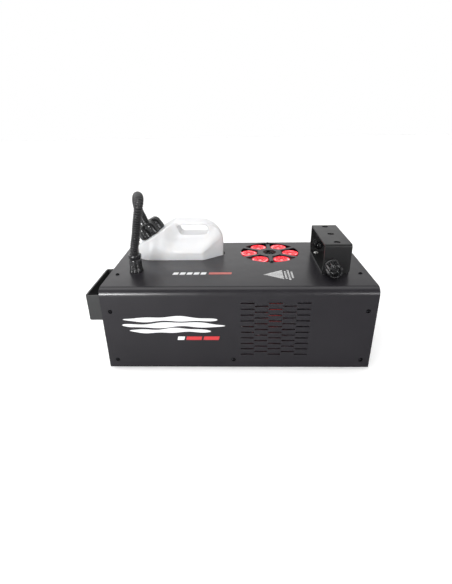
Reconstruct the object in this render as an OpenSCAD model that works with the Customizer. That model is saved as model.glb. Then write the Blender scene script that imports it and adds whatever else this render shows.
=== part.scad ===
// Vertical fog machine: a sheet-steel body with a round light window in its lid, a lift-out fluid
// bottle, a flexible suction conduit and a hanging yoke. Millimetres, +Z up.
// Origin: centre of the overall footprint, at floor level.

/* [Body] */
// Width of the sheet-steel body, left to right
body_w = 400; // [390:2:430]
// Depth of the body, front to back
body_d = 222; // [222:2:250]
// Height of the body without its feet
body_h = 133; // [130:1:150]
// Outside radius of the lid's two long bends
bend_r = 12; // [8:1:14]
// Thickness of the body's sheet steel
sheet = 1.5; // [1.2:0.1:2]
// Height of the rubber feet
foot_h = 4; // [3:0.5:8]

/* [Light window] */
// Outside radius of the six light windows
ring_r = 51; // [48:0.5:52]
// Radius of the solid hub that carries the nozzle hole
hub_r = 21; // [19:0.5:22]
// Width of the spokes between the windows
spoke_w = 6; // [4:0.5:8]
// Radius of the nozzle hole in the hub
nozzle_hole_r = 11.5; // [10:0.5:13]
// Radius of the circle the six lenses stand on
lens_circle_r = 36.5; // [36:0.5:37.5]
// Radius of one lens
lens_r = 12.5; // [10:0.5:13]

/* [Louvres] */
// Number of louvre columns
louvre_cols = 5; // [3:2:5]
// Louvres in each outer column; every second column has one less
louvre_rows = 10; // [6:1:10]
// Length of one louvre
louvre_l = 19.6; // [15:0.2:20]
// Height of one louvre
louvre_h = 1.9; // [1.5:0.1:2.4]

/* [Bottle] */
// Length of the bottle, left to right
bottle_l = 149; // [145:1:152]
// Thickness of the bottle, front to back
bottle_t = 66; // [62:1:68]
// Height of the bottle's handle above the lid
bottle_up = 64; // [62:1:66]
// Depth of the bottle below the lid
bottle_down = 60; // [40:1:62]
// Wall thickness of the bottle
bottle_wall = 2.2; // [1.5:0.1:3]

/* [Conduit] */
// Outside radius of the corrugated conduit
conduit_r = 6.5; // [6:0.1:6.5]
// Height of the ribbed gland at the lid
gland_h = 28.5; // [24:0.5:32]

/* [Yoke] */
// Length of the yoke, outside to outside of its legs
yoke_l = 111; // [105:1:114]
// Width of the yoke's steel strip
yoke_w = 40; // [34:1:40]
// Height of the yoke above the lid
yoke_h = 48; // [44:1:60]
// Thickness of the yoke's strip
yoke_t = 2.5; // [2:0.1:3]
// Height of the yoke's pivot above the lid
pivot_up = 14.5; // [14.5:0.5:18]
// Distance between neighbouring holes in the yoke
yoke_hole_pitch = 43; // [30:1:44]
// Radius of the holes in the yoke
yoke_hole_r = 5.25; // [4:0.25:6.5]
// Radius of the clamping knobs
knob_r = 12; // [11:0.1:13.8]

/* [Handle] */
// How far the carrying strap stands out from the left end
handle_out = 22; // [22:1:40]
// Length of the strap, front to back
handle_l = 105; // [95:1:120]
// Width of the strap, bottom to top
handle_w = 40; // [30:1:44]

/* [Hidden] */
$fn = 48;

BLACK = "#2b2c2e";
RUBBER = "#1c1c1c";
STEEL = "silver";
eps = 0.01;
gap = 0.1;                                      // between sheets that lie against each other

end_proud = 4;                                  // how far the menu buttons stand out of the right end
body_x = (handle_out - end_proud) / 2;          // puts the overall footprint's centre at the origin
x_end = body_w / 2;
y_end = body_d / 2;
deck = body_h;                                  // top face of the lid

screw_r = 1.9;                                  // M4 thread, drawn plain
screw_hole_r = 2;
head_r = 3.4;
head_h = 2;
side_screw_x = x_end - 13;
low_screw_z = 13.3;
high_screw_z = 97;
lid_screw_y = 55;
mid_screw_x = -7;
flange = 16;                                    // depth of the end panels' folded edges
base_lip = 20;                                  // height of the base plate's folded edges

ring_x = 56.5;
ring_y = 46;
lens_h = 12;
lens_top = deck - 4;
led_z = lens_top - lens_h - 3.5;                // top face of the light board
board_t = 1.6;
led_board_r = 44.5;
plate_t = 4;                                    // base plate of the heat sink
fin_h = 10;
plate_drop = 2;                                 // underside of the lens cover plate below the lenses' tops
lip_t = 2;
ring_screw_r = ring_r - 1.5;                    // circle of the two screws beside the windows

louvre_x0 = 4.3;
louvre_top = 110.5;
louvre_pitch_x = 20.25;
louvre_pitch_z = 9.68;

bottle_x = -174;                                // left side of the bottle
bottle_y = 42;                                  // middle plane of the bottle
pocket_gap = 2;
shoulder_a = [0, 18.5];                           // sloped shoulder, as [from the left side, above the lid]
shoulder_b = [71, bottle_up];
shoulder_tilt = atan2(shoulder_b.y - shoulder_a.y, shoulder_b.x - shoulder_a.x);
grip_x = 58;                                    // where the wide shoulder ends and the grip begins
grip_t = 32;                                    // thickness of the grip
ledge_up = 14;                                  // height of the ledge below the grip
neck_x = 28.4;
neck_up = shoulder_a.y + (neck_x - shoulder_a.x) * tan(shoulder_tilt);
neck_r = 17;
neck_h = 17;
neck_bore_r = 14;
cap_h = 20;
cap_clear = 0.1;
seal_t = 1.4;

gland_x = -160.5;
gland_y = -41;
gland_bore_r = conduit_r + 0.25;

yoke_x = 148;
yoke_y = -6.5;
yoke_leg_gap = 3;                               // under the legs
stud_r = 4;
pivot_x = -7;                                   // pivot, left of the yoke's centre line
pivot_hole_r = 4.3;
washer_t = 1.4;
ear_t = 2.5;
ear_out = yoke_l / 2 - yoke_t - washer_t - gap; // outside face of the base's ears
knob_l = 20;

handle_t = 2.5;
handle_y0 = -106;
handle_z0 = 81;
handle_bolt_z = 14;
handle_tab = 18;

heater_x = ring_x;
heater_y = ring_y;
heater_l = 100;
heater_d = 52;
heater_h = 36;
heater_z = 26;
wool_t = 8;

pump_x = -60;
pump_y = -60;
pump_z = 16;
pump_r = 21;
pump_l = 60;
plunger_r = 6;
plunger_l = 22;
spring_l = 14;
chamber_z = 14;                                 // bottom of the pump's spring chamber

panel_in = x_end - sheet;                       // inside face of the right end panel
control_x = panel_in - 9;                       // face of the control board
control_z = 98;
button_y = [-12, 6, 24, 42];
button_r = 4.5;
button_travel = 1;
button_slack = 0.2;                             // between a resting button and its switch
switch_h = 3.2;                                 // height of the small switches on the control board
display_y = -58;
display_size = [52, 24];
inlet_y = 64;
socket_z = 45;
rocker_y = 10;
rocker_pivot_x = x_end - 2.5;
rocker_tilt = 10;
trunnion_r = 1.5;
xlr_y = [-84, -46];
bezel_t = 2;                                    // flanges of the sockets and the switch
power_at = [154, -58, 10];                      // centre of the power board's underside
power_size = [64, 84];
foot_x = 168;
foot_y = 84;
foot_recess = 2.5;                              // depth of the screw recess in a foot

// ---------- geometry helpers ----------

function unit(v) = v / norm(v);
function turn(v, a) = [v.x * cos(a) - v.y * sin(a), v.x * sin(a) + v.y * cos(a)];

// Moves every edge of an anticlockwise outline inwards by d
function inset(pts, d) = let(n = len(pts)) [
    for (i = [0:n - 1])
        let(a = unit(pts[i] - pts[(i + n - 1) % n]), b = unit(pts[(i + 1) % n] - pts[i]),
            na = [-a.y, a.x], nb = [-b.y, b.x])
            pts[i] + d * (na + nb) / (1 + na * nb)
];

// Rounds each corner of an outline with its own radius, as an arc of steps + 1 points
function fillet(pts, radii, steps = 8) = let(n = len(pts)) [
    for (i = [0:n - 1])
        let(a = unit(pts[i] - pts[(i + n - 1) % n]), b = unit(pts[(i + 1) % n] - pts[i]),
            bend = atan2(a.x * b.y - a.y * b.x, a * b), r = radii[i],
            start = pts[i] - a * r * tan(abs(bend) / 2),
            centre = start + sign(bend) * r * [-a.y, a.x])
            for (k = [0:steps]) centre + turn(start - centre, bend * k / steps)
];

// Points of a smooth curve through the given points
function spline(p, steps = 6) = let(n = len(p)) concat([
    for (i = [0:n - 2])
        let(a = p[max(i - 1, 0)], b = p[i], c = p[i + 1], d = p[min(i + 2, n - 1)])
            for (k = [0:steps - 1])
                let(t = k / steps)
                    0.5 * (2 * b + (c - a) * t + (2 * a - 5 * b + 4 * c - d) * t * t
                        + (3 * b - a - 3 * c + d) * t * t * t)
], [p[n - 1]]);

// A round tube along a path; side is a direction the path never follows
module tube(path, r, r_in = 0, sides = 16, side = [1, 0, 0]) {
    n = len(path);
    function ring_at(i, rad) =
        let(t = unit(path[min(i + 1, n - 1)] - path[max(i - 1, 0)]),
            u = unit(cross(t, side)), v = cross(t, u))
            [for (j = [0:sides - 1]) path[i] + rad * (cos(360 * j / sides) * u + sin(360 * j / sides) * v)];
    outer = [for (i = [0:n - 1]) each ring_at(i, r)];
    inner = r_in > 0 ? [for (i = [0:n - 1]) each ring_at(i, r_in)] : [];
    m = n * sides;
    function at(i, j, k = 0) = k * m + i * sides + j % sides;
    skin = [for (i = [0:n - 2], j = [0:sides - 1]) [at(i, j), at(i + 1, j), at(i + 1, j + 1), at(i, j + 1)]];
    bore = [for (i = [0:n - 2], j = [0:sides - 1])
        [at(i, j, 1), at(i, j + 1, 1), at(i + 1, j + 1, 1), at(i + 1, j, 1)]];
    ends = r_in > 0
        ? [for (j = [0:sides - 1]) each [
            [at(0, j), at(0, j + 1), at(0, j + 1, 1), at(0, j, 1)],
            [at(n - 1, j + 1), at(n - 1, j), at(n - 1, j, 1), at(n - 1, j + 1, 1)]]]
        : [[for (j = [0:sides - 1]) at(0, j)], [for (j = [sides - 1:-1:0]) at(n - 1, j)]];
    polyhedron(concat(outer, inner), concat(skin, r_in > 0 ? bore : [], ends), convexity = 6);
}

// Flat-bottomed outline with rounded top corners, centred on u = 0
module arch2d(l, h, r) {
    translate([-l / 2, 0]) square([l, h - r]);
    translate([-l / 2 + r, 0]) square([l - 2 * r, h]);
    for (s = [-1, 1]) translate([s * (l / 2 - r), h - r]) circle(r);
}

// Rounded rectangle, centred
module pad2d(w, h, r) {
    square([w - 2 * r, h], center = true);
    square([w, h - 2 * r], center = true);
    for (i = [-1, 1], j = [-1, 1]) translate([i * (w / 2 - r), j * (h / 2 - r)]) circle(r);
}

// Extrudes a Y-Z outline along X, from x = 0
module along_x(w) { rotate([90, 0, 90]) linear_extrude(w) children(); }

// Extrudes an X-Z outline along Y, centred
module along_y(w) { translate([0, w / 2, 0]) rotate([90, 0, 0]) linear_extrude(w) children(); }

// Body coordinates: centre of the body's underside
module in_body() { translate([body_x, 0, foot_h]) children(); }

// Turns +Z to each outward direction
module face_front() { rotate([90, 0, 0]) children(); }
module face_back() { rotate([-90, 0, 0]) children(); }
module face_left() { rotate([0, -90, 0]) children(); }
module face_right() { rotate([0, 90, 0]) children(); }

// Domed pan head with a cross recess above z = 0, thread below
module pan_screw(l, hr = head_r, hh = head_h, sr = screw_r) {
    dome = (hr * hr + hh * hh) / (2 * hh);
    difference() {
        intersection() {
            translate([0, 0, hh - dome]) sphere(dome);
            cylinder(r = hr, h = hh);
        }
        for (a = [0, 90]) rotate(a) translate([0, 0, hh])
            cube([hr * 1.1, hr * 0.28, hh * 0.9], center = true);
    }
    translate([0, 0, -l]) cylinder(r = sr, h = l + eps);
}

module hex_nut(across_r, h, bore_r) {
    difference() {
        cylinder(r = across_r, h = h, $fn = 6);
        translate([0, 0, -1]) cylinder(r = bore_r, h = h + 2);
    }
}

// ---------- body ----------

module lid_section(inset_by, bottom = 0) {
    translate([0, bottom])
        arch2d(body_d - 2 * inset_by, body_h - inset_by - bottom, bend_r - inset_by);
}

module window2d(a) {
    // one of six windows, centred on angle a
    intersection() {
        difference() { circle(ring_r); circle(hub_r); }
        rotate(a) polygon([
            [spoke_w, 0],
            [spoke_w, 0] + 2 * ring_r * [cos(30), sin(30)],
            [spoke_w, 0] + 2 * ring_r * [1, 0],
            [spoke_w, 0] + 2 * ring_r * [cos(30), -sin(30)]
        ]);
    }
}

module louvres() {
    // every second column has one louvre less and stands half a pitch lower
    for (c = [0:louvre_cols - 1], r = [0:louvre_rows - 1 - c % 2]) {
        z = louvre_top - (r + (c % 2) / 2) * louvre_pitch_z;
        translate([louvre_x0 + c * louvre_pitch_x, -5, z - louvre_h / 2]) cube([louvre_l, 10, louvre_h]);
    }
}

module wall_screw_places() {
    // the same pattern on the front and the back wall
    for (x = [-side_screw_x, side_screw_x], z = [low_screw_z, high_screw_z]) translate([x, 0, z]) children();
    translate([mid_screw_x, 0, low_screw_z]) children();
}

module cover_screw_places() {
    translate([0, -y_end, 0]) wall_screw_places() face_front() children();
    translate([0, y_end, 0]) wall_screw_places() face_back() children();
    for (x = [-side_screw_x, side_screw_x], y = [-lid_screw_y, lid_screw_y])
        translate([x, y, deck]) children();
    for (a = [90, 270]) translate([ring_x, ring_y, deck] + ring_screw_r * [cos(a), sin(a), 0]) children();
}

module yoke_bolt_places() {
    for (x = [-12, 12], y = [-41, 41]) translate([yoke_x + x, yoke_y + y, deck + ear_t]) children();
}

module cover() in_body() color(BLACK) difference() {
    translate([-x_end, 0, 0]) along_x(body_w) difference() {
        lid_section(0);
        lid_section(sheet, -1);
    }
    translate([ring_x, ring_y, deck - 5]) linear_extrude(10) {
        for (i = [0:5]) window2d(60 * i);
        circle(nozzle_hole_r);
    }
    translate([0, 0, deck - 5]) linear_extrude(10) bottle_plan(-pocket_gap);
    translate([gland_x, gland_y, deck - 5]) cylinder(r = 8.2, h = 10);
    translate([0, -y_end, 0]) louvres();
    translate([0, y_end, 0]) louvres();
    cover_screw_places() translate([0, 0, -5]) cylinder(r = screw_hole_r, h = 10);
    yoke_bolt_places() translate([0, 0, -10]) cylinder(r = 2.6, h = 20);
}

module base_plate() in_body() color(BLACK) difference() {
    union() {
        translate([-x_end, -y_end + sheet + gap, 0]) cube([body_w, body_d - 2 * (sheet + gap), sheet]);
        for (s = [-1, 1]) translate([-x_end + flange + 4, s * (y_end - sheet * 1.5 - gap) - sheet / 2, 0])
            cube([body_w - 2 * flange - 8, sheet, base_lip]);
    }
    for (s = [-1, 1]) translate([mid_screw_x, s * y_end, low_screw_z]) face_front()
        translate([0, 0, -10]) cylinder(r = screw_hole_r, h = 20);
    underside_screw_places() translate([0, 0, -5]) cylinder(r = screw_hole_r, h = 15);
}

// A folded tray that closes one end: plate, rolled edge on three sides and a foot on the base plate
module end_tray() {
    along_x(sheet) lid_section(sheet + gap, sheet + gap);
    along_x(flange) difference() {
        lid_section(sheet + gap, sheet + gap);
        lid_section(2 * sheet + gap, 2 * sheet + gap);
    }
}

module end_screw_holes() {
    cover_screw_places() translate([0, 0, -8]) cylinder(r = screw_hole_r, h = 12);
    underside_screw_places() translate([0, 0, -5]) cylinder(r = screw_hole_r, h = 15);
}

module left_end_panel() in_body() color(BLACK) difference() {
    translate([-x_end, 0, 0]) end_tray();
    end_screw_holes();
    handle_bolt_places() translate([0, 0, -10]) cylinder(r = 2.6, h = 20);
}

module right_end_panel() in_body() color(BLACK) difference() {
    translate([x_end, 0, 0]) mirror([1, 0, 0]) end_tray();
    end_screw_holes();
    translate([panel_in - 5, 0, 0]) {
        translate([0, display_y, control_z]) along_x(20) square(display_size, center = true);
        for (y = button_y) translate([0, y, control_z]) face_right() cylinder(r = button_r + 0.2, h = 20);
        for (y = xlr_y) translate([0, y, socket_z]) face_right() cylinder(r = 12.2, h = 20);
        translate([0, rocker_y, socket_z]) along_x(20) square([22, 30], center = true);
        translate([0, inlet_y, socket_z]) along_x(20) square([30, 40], center = true);
    }
    panel_screw_places() translate([0, 0, -8]) cylinder(r = 1.5, h = 10);
}

module underside_screw_places() {
    for (x = [-foot_x, foot_x], y = [-foot_y, foot_y])
        translate([x, y, foot_recess - foot_h]) rotate([180, 0, 0]) children();
    for (x = [-side_screw_x, side_screw_x], y = [-40, 40])
        translate([x, y, 0]) rotate([180, 0, 0]) children();
}

module underside_screws() in_body() color(STEEL) underside_screw_places() pan_screw(7);

module rubber_feet() in_body() color(RUBBER)
    for (x = [-foot_x, foot_x], y = [-foot_y, foot_y]) translate([x, y, -foot_h]) difference() {
        union() {
            cylinder(r1 = 9, r2 = 10, h = foot_h / 2 + eps);
            translate([0, 0, foot_h / 2]) cylinder(r = 10, h = foot_h / 2);
        }
        translate([0, 0, -1]) cylinder(r = head_r + 0.6, h = foot_recess + 1);
        cylinder(r = screw_hole_r, h = foot_h + 1);
    }

module cover_screws() in_body() color(BLACK) cover_screw_places() pan_screw(6.5);

module panel_screw_places() {
    for (y = xlr_y, s = [-1, 1])
        translate([x_end + bezel_t, y + s * 9.5, socket_z + s * 12]) face_right() children();
    for (s = [-1, 1]) translate([x_end + bezel_t, inlet_y + s * 20, socket_z]) face_right() children();
}

module panel_screws() in_body() color(STEEL) panel_screw_places() pan_screw(6, 2.6, 1.4, 1.4);

// ---------- carrying strap ----------

module handle_bolt_places() {
    for (y = [handle_y0 + 11.5, handle_y0 + handle_l - 11.5], z = [-handle_bolt_z, handle_bolt_z])
        translate([-x_end - handle_t, y, handle_z0 + handle_w / 2 + z]) face_left() children();
}

module carry_handle() in_body() color(BLACK) difference() {
    translate([-x_end, handle_y0 + handle_l / 2, handle_z0]) linear_extrude(handle_w) {
        difference() {
            rotate(90) arch2d(handle_l, handle_out, 4);
            translate([1, 0]) rotate(90) arch2d(handle_l - 2 * handle_t, handle_out - handle_t + 1, 1.5);
        }
        for (s = [-1, 1]) translate([-handle_t / 2, s * (handle_l / 2 - handle_tab / 2 - eps)])
            square([handle_t, handle_tab], center = true);
    }
    handle_bolt_places() translate([0, 0, -10]) cylinder(r = 2.6, h = 20);
}

module handle_bolts() in_body() color(BLACK) handle_bolt_places() pan_screw(8, 4.2, 2.6, 2.5);

// ---------- hanging yoke ----------

module at_yoke() { translate([yoke_x, yoke_y, deck]) children(); }

module at_pivot() at_yoke() translate([pivot_x, 0, pivot_up]) children();

module pivot_bore() at_pivot() face_front() cylinder(r = pivot_hole_r, h = yoke_l + 10, center = true);

module ear2d() {
    // low shoulders the full width of the strip, with a round-topped tab around the pivot
    translate([-yoke_w / 2, 0]) square([yoke_w, 12]);
    translate([pivot_x - 11, 0]) square([22, pivot_up]);
    translate([pivot_x, pivot_up]) circle(11);
}

module yoke_base() in_body() color(BLACK) difference() {
    at_yoke() {
        translate([-yoke_w / 2, -ear_out, 0]) cube([yoke_w, 2 * ear_out, ear_t]);
        for (s = [-1, 1]) translate([0, s * (ear_out - ear_t / 2), 0]) along_y(ear_t) ear2d();
    }
    pivot_bore();
    yoke_bolt_places() translate([0, 0, -10]) cylinder(r = 2.6, h = 20);
}

module yoke_base_bolts() in_body() color(STEEL) yoke_bolt_places() pan_screw(9, 4.2, 2.6, 2.5);

module pivot_nuts() in_body() color(STEEL) at_pivot() for (s = [0, 180]) rotate(s)
    translate([0, -ear_out + ear_t, 0]) face_back() hex_nut(7.5, 6.5, stud_r + 0.05);

module yoke() in_body() color(BLACK) difference() {
    at_yoke() intersection() {
        translate([-yoke_w / 2, 0, yoke_leg_gap]) along_x(yoke_w) difference() {
            arch2d(yoke_l, yoke_h - yoke_leg_gap, 4);
            translate([0, -1]) arch2d(yoke_l - 2 * yoke_t, yoke_h - yoke_leg_gap - yoke_t + 1, 4 - yoke_t);
        }
        // rounds the lower corners of both legs
        translate([0, 0, yoke_h]) mirror([0, 0, 1]) along_y(yoke_l + 2)
            arch2d(yoke_w, yoke_h - yoke_leg_gap, 5);
    }
    pivot_bore();
    at_yoke() for (y = [-1, 0, 1]) translate([0, y * yoke_hole_pitch, yoke_h - 10])
        cylinder(r = yoke_hole_r, h = 20);
}

module friction_washers() in_body() color(RUBBER) at_pivot() for (s = [0, 180]) rotate(s)
    translate([0, -yoke_l / 2 + yoke_t, 0]) face_back() difference() {
        cylinder(r = 11, h = washer_t);
        translate([0, 0, -1]) cylinder(r = pivot_hole_r, h = washer_t + 2);
    }

// Flanged clamping knob with grip lobes, a hollow front and its moulded-in threaded stud
module clamp_knob() {
    lobes = 8;
    lobe_r = 2.8;
    lobe_at = knob_r - lobe_r - 0.6;
    hub_drop = 0.6;
    flange_h = 4;
    stud_l = yoke_t + washer_t + ear_t + 7;
    difference() {
        union() {
            translate([0, 0, gap]) cylinder(r = knob_r, h = flange_h);
            translate([0, 0, flange_h - 1]) cylinder(r = lobe_at + 0.8, h = knob_l - flange_h + 1 - hub_drop);
            for (i = [0:lobes - 1]) rotate((i + 0.5) * 360 / lobes)
                translate([lobe_at, 0, flange_h - 1]) cylinder(r = lobe_r, h = knob_l - flange_h + 1);
        }
        translate([0, 0, knob_l - 8]) cylinder(r = lobe_at - lobe_r - 0.4, h = 10);
    }
    translate([0, 0, -stud_l]) cylinder(r = stud_r, h = stud_l + 1);
}

module front_knob() in_body() color(RUBBER) at_pivot() translate([0, -yoke_l / 2, 0])
    face_front() clamp_knob();

module rear_knob() in_body() color(RUBBER) at_pivot() translate([0, yoke_l / 2, 0])
    face_back() clamp_knob();

// ---------- bottle ----------

// Side outline of the bottle, as [from its left side, above the lid]
function bottle_side(d = 0) = fillet(inset([
    [0, -bottle_down], [bottle_l, -bottle_down], [bottle_l, bottle_up - 4], shoulder_b, shoulder_a
], d), [for (r = [9, 9, 38, 7, 12]) r - d]);

// The hand hole through the bottle
function grip_hole(d = 0) = fillet(inset([
    [80, bottle_up - 25], [124, bottle_up - 25], [123, bottle_up - 8.5], [72.5, bottle_up - 8]
], d), [for (r = [6, 5, 6, 2.5]) r - d], 5);

// End outlines of the shoulder and of the grip, as [from the middle plane, above the lid]
function shoulder_end(d = 0) = let(t = bottle_t / 2) inset([
    [-t, -bottle_down - 9], [t, -bottle_down - 9], [t, ledge_up],
    [t - 5, bottle_up + 9], [5 - t, bottle_up + 9], [-t, ledge_up]
], d);
function grip_end(d = 0) = let(t = bottle_t / 2, g = grip_t / 2) inset([
    [-t, -bottle_down - 9], [t, -bottle_down - 9], [t, ledge_up], [g, ledge_up + 22],
    [g, bottle_up + 9], [-g, bottle_up + 9], [-g, ledge_up + 22], [-t, ledge_up]
], d);

// Plan of the bottle: round left corners and chamfered right corners
function bottle_top(d = 0) = let(t = bottle_t / 2, cx = bottle_l - 33, cy = 7) fillet(inset([
    [0, -t], [cx, -t], [bottle_l, -cy], [bottle_l, cy], [cx, t], [0, t]
], d), [for (r = [30, 9, 6, 6, 9, 30]) r - d]);

module bottle_plan(d) { translate([bottle_x, bottle_y]) polygon(bottle_top(d)); }

module bottle_block(d) {
    intersection() {
        translate([bottle_x, bottle_y, deck]) along_y(2 * bottle_t) polygon(bottle_side(d));
        translate([0, 0, deck - bottle_down - 10]) linear_extrude(bottle_down + bottle_up + 20)
            bottle_plan(d);
        translate([bottle_x - 5, bottle_y, deck]) {
            along_x(grip_x + 5 - d) polygon(shoulder_end(d));
            along_x(bottle_l + 10) polygon(grip_end(d));
        }
    }
}

// Bottle neck coordinates: origin on the sloped shoulder, +Z out of the neck
module at_neck() {
    translate([bottle_x + neck_x, bottle_y, deck + neck_up]) rotate([0, -shoulder_tilt, 0]) children();
}

module fluid_bottle() in_body() color("white", 0.85) difference() {
    union() {
        bottle_block(0);
        at_neck() translate([0, 0, -3]) cylinder(r = neck_r, h = neck_h + 3);
    }
    translate([bottle_x, bottle_y, deck]) along_y(2 * bottle_t) polygon(grip_hole());
    difference() {
        bottle_block(bottle_wall);
        translate([bottle_x, bottle_y, deck]) along_y(2 * bottle_t) polygon(grip_hole(-bottle_wall));
    }
    at_neck() translate([0, 0, -12]) cylinder(r = neck_bore_r, h = neck_h + 20);
}

module bottle_pocket() in_body() color(BLACK) difference() {
    union() {
        translate([0, 0, deck - bottle_down - 2 * sheet]) linear_extrude(bottle_down + sheet)
            bottle_plan(-pocket_gap - sheet);
        translate([0, 0, deck - 2 * sheet]) linear_extrude(sheet) bottle_plan(-pocket_gap - 4);
    }
    translate([0, 0, deck - bottle_down - sheet + 1]) linear_extrude(bottle_down + 10)
        bottle_plan(-pocket_gap);
}

module bottle_cap() in_body() color(RUBBER) at_neck() difference() {
    union() {
        translate([0, 0, 0.6]) cylinder(r = 21, h = cap_h - 6);
        for (i = [0:5]) rotate(60 * i + 30) translate([14.5, 0, 0.6]) cylinder(r = 10, h = cap_h - 7);
        translate([0, 0, cap_h - 7]) cylinder(r1 = 21.6, r2 = 18.4, h = 7);
    }
    translate([0, 0, -1]) cylinder(r = neck_r + cap_clear, h = neck_h + seal_t + 1.1);
    cylinder(r = 7.05, h = 40);
}

module cap_seal() in_body() color("white") at_neck() translate([0, 0, neck_h]) difference() {
    cylinder(r = neck_r - 0.2, h = seal_t);
    translate([0, 0, -1]) cylinder(r = 7.6, h = seal_t + 2);
}

module cap_gland() in_body() color(RUBBER) at_neck() difference() {
    union() {
        translate([0, 0, neck_h - 2.1]) cylinder(r = 12, h = 2);
        translate([0, 0, neck_h - 2]) cylinder(r = 7, h = cap_h - neck_h + 4);
        translate([0, 0, cap_h + 0.1]) cylinder(r = 9, h = 4);
    }
    translate([0, 0, cap_h - 3]) cylinder(r = gland_bore_r - gap, h = 20);
    cylinder(r = 3.3, h = 60);
}

// A point on the neck's axis, w above the shoulder
function neck_point(w) =
    [bottle_x + neck_x - w * sin(shoulder_tilt), bottle_y, deck + neck_up + w * cos(shoulder_tilt)];

dip_end = [bottle_x + 64, bottle_y, deck - bottle_down + bottle_wall + 9];

module dip_tube() in_body() color("white") tube(spline([
    neck_point(cap_h - 3.5), neck_point(5), neck_point(-24),
    [dip_end.x - 3, bottle_y, deck - 22], dip_end + [0, 0, 14], dip_end
]), 3, 2, 12, [0, 1, 0]);

module intake_filter() in_body() color(STEEL) translate(dip_end - [0, 0, 8.5]) difference() {
    cylinder(r = 6.5, h = 12);
    translate([0, 0, 3]) cylinder(r = 3.1, h = 20);
    for (i = [0:7]) rotate(45 * i) translate([6.5, 0, 1.2]) cube([2.4, 1.6, 2], center = true);
}

// ---------- conduit and suction hose ----------

function conduit_points() = [
    [gland_x, gland_y, deck + gland_h - 10], [gland_x, gland_y, deck + gland_h - 1],
    [gland_x + 0.6, gland_y, deck + gland_h + 9], [-153, gland_y - 1, deck + 70],
    [-149.5, gland_y + 3, deck + 97], [-149.5, gland_y + 18, deck + 110.5], [-156, gland_y + 46, deck + 107],
    neck_point(cap_h + 31), neck_point(cap_h + 14), neck_point(cap_h - 1)
];

module conduit() in_body() color(BLACK) tube(spline(conduit_points()), conduit_r, conduit_r - 2, 18);

module base_gland() in_body() color(RUBBER) translate([gland_x, gland_y, deck]) difference() {
    union() {
        cylinder(r = 10.2, h = 8);
        cylinder(r = 9, h = gland_h);
        translate([0, 0, gland_h - 7]) cylinder(r = 9.6, h = 6);
        for (i = [0:9]) rotate(36 * i) translate([9, 0, 0]) cylinder(r = 1.3, h = gland_h - 8);
        translate([0, 0, -12]) cylinder(r = 8, h = 14);
    }
    translate([0, 0, gland_h - 12]) cylinder(r = gland_bore_r, h = 20);
    translate([0, 0, -20]) cylinder(r = 4, h = 60);
}

module gland_locknut() in_body() color(RUBBER) translate([gland_x, gland_y, deck - sheet - 5])
    hex_nut(12, 5, 8.05);

// Hose path: down through the whole conduit and the gland, then across to the push-in fitting on the pump
function hose_path() = let(c = spline(conduit_points())) concat(
    [neck_point(cap_h - 2.6)],
    [for (i = [len(c) - 3:-1:2]) c[i]],
    spline([
        [gland_x, gland_y, deck + 16], [gland_x, gland_y, deck - 14], [gland_x + 7, gland_y - 3, deck - 27],
        [gland_x + 50, pump_y, deck - 31], [pump_x - 14, pump_y, deck - 28], [pump_x, pump_y, deck - 38],
        [pump_x, pump_y, pump_z + pump_l + 14], [pump_x, pump_y, pump_z + pump_l + 5]
    ], 4)
);

module suction_hose() in_body() color("white") tube(hose_path(), 2.6, 1.8, 12, [1, 0.2, 0.1]);

// ---------- light ring ----------

module at_ring(z) { translate([ring_x, ring_y, z]) children(); }
module lens_places(z) {
    at_ring(z) for (i = [0:5]) rotate(60 * i) translate([lens_circle_r, 0, 0]) children();
}

module led_board() in_body() color("darkgreen") at_ring(led_z - board_t) difference() {
    cylinder(r = led_board_r, h = board_t);
    translate([0, 0, -1]) cylinder(r = 15, h = 5);
}

module led_emitters() in_body() color("red") lens_places(led_z) translate([0, 0, 0.9])
    cube([5, 5, 1.8], center = true);

module led_lenses() in_body() color("tomato", 0.6) lens_places(lens_top - lens_h) difference() {
    union() {
        cylinder(r1 = 6, r2 = lens_r - 0.4, h = lens_h - 2);
        translate([0, 0, lens_h - 2]) cylinder(r = lens_r, h = 2);
    }
    translate([0, 0, lens_h - 1.2]) cylinder(r1 = 4, r2 = 5, h = 2);
    translate([0, 0, -1]) cylinder(r = 3, h = 4);
}

// A ring under each lens, and a cover plate on posts that fills the space between the lenses
module lens_holders() in_body() color(BLACK) {
    lens_places(led_z) difference() {
        cylinder(r = 9, h = 5.5);
        translate([0, 0, 3.4]) cylinder(r1 = 6.2, r2 = 7.6, h = 2.2);
        translate([0, 0, -1]) cylinder(r = 6.1, h = 8);
    }
    at_ring(lens_top - plate_drop) difference() {
        union() {
            cylinder(r = led_board_r + 1, h = plate_drop - 0.4);
            for (i = [0:5]) rotate(60 * i + 30) translate([lens_circle_r, 0, led_z - lens_top + plate_drop])
                cylinder(r = 2, h = lens_top - led_z - plate_drop + eps);
        }
        for (i = [0:5]) rotate(60 * i) translate([lens_circle_r, 0, -1]) cylinder(r = lens_r + 0.2, h = 6);
        translate([0, 0, -1]) cylinder(r = 12, h = 6);
    }
}

module led_heatsink() in_body() color(STEEL) at_ring(led_z - board_t - plate_t - fin_h) difference() {
    union() {
        translate([0, 0, fin_h]) cylinder(r = led_board_r, h = plate_t);
        intersection() {
            for (i = [-4:4]) translate([-ring_r, i * 10 - 1, 0]) cube([2 * ring_r, 2, fin_h + eps]);
            cylinder(r = led_board_r, h = fin_h + 1);
        }
    }
    translate([0, 0, -1]) cylinder(r = 15, h = 20);
}

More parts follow.
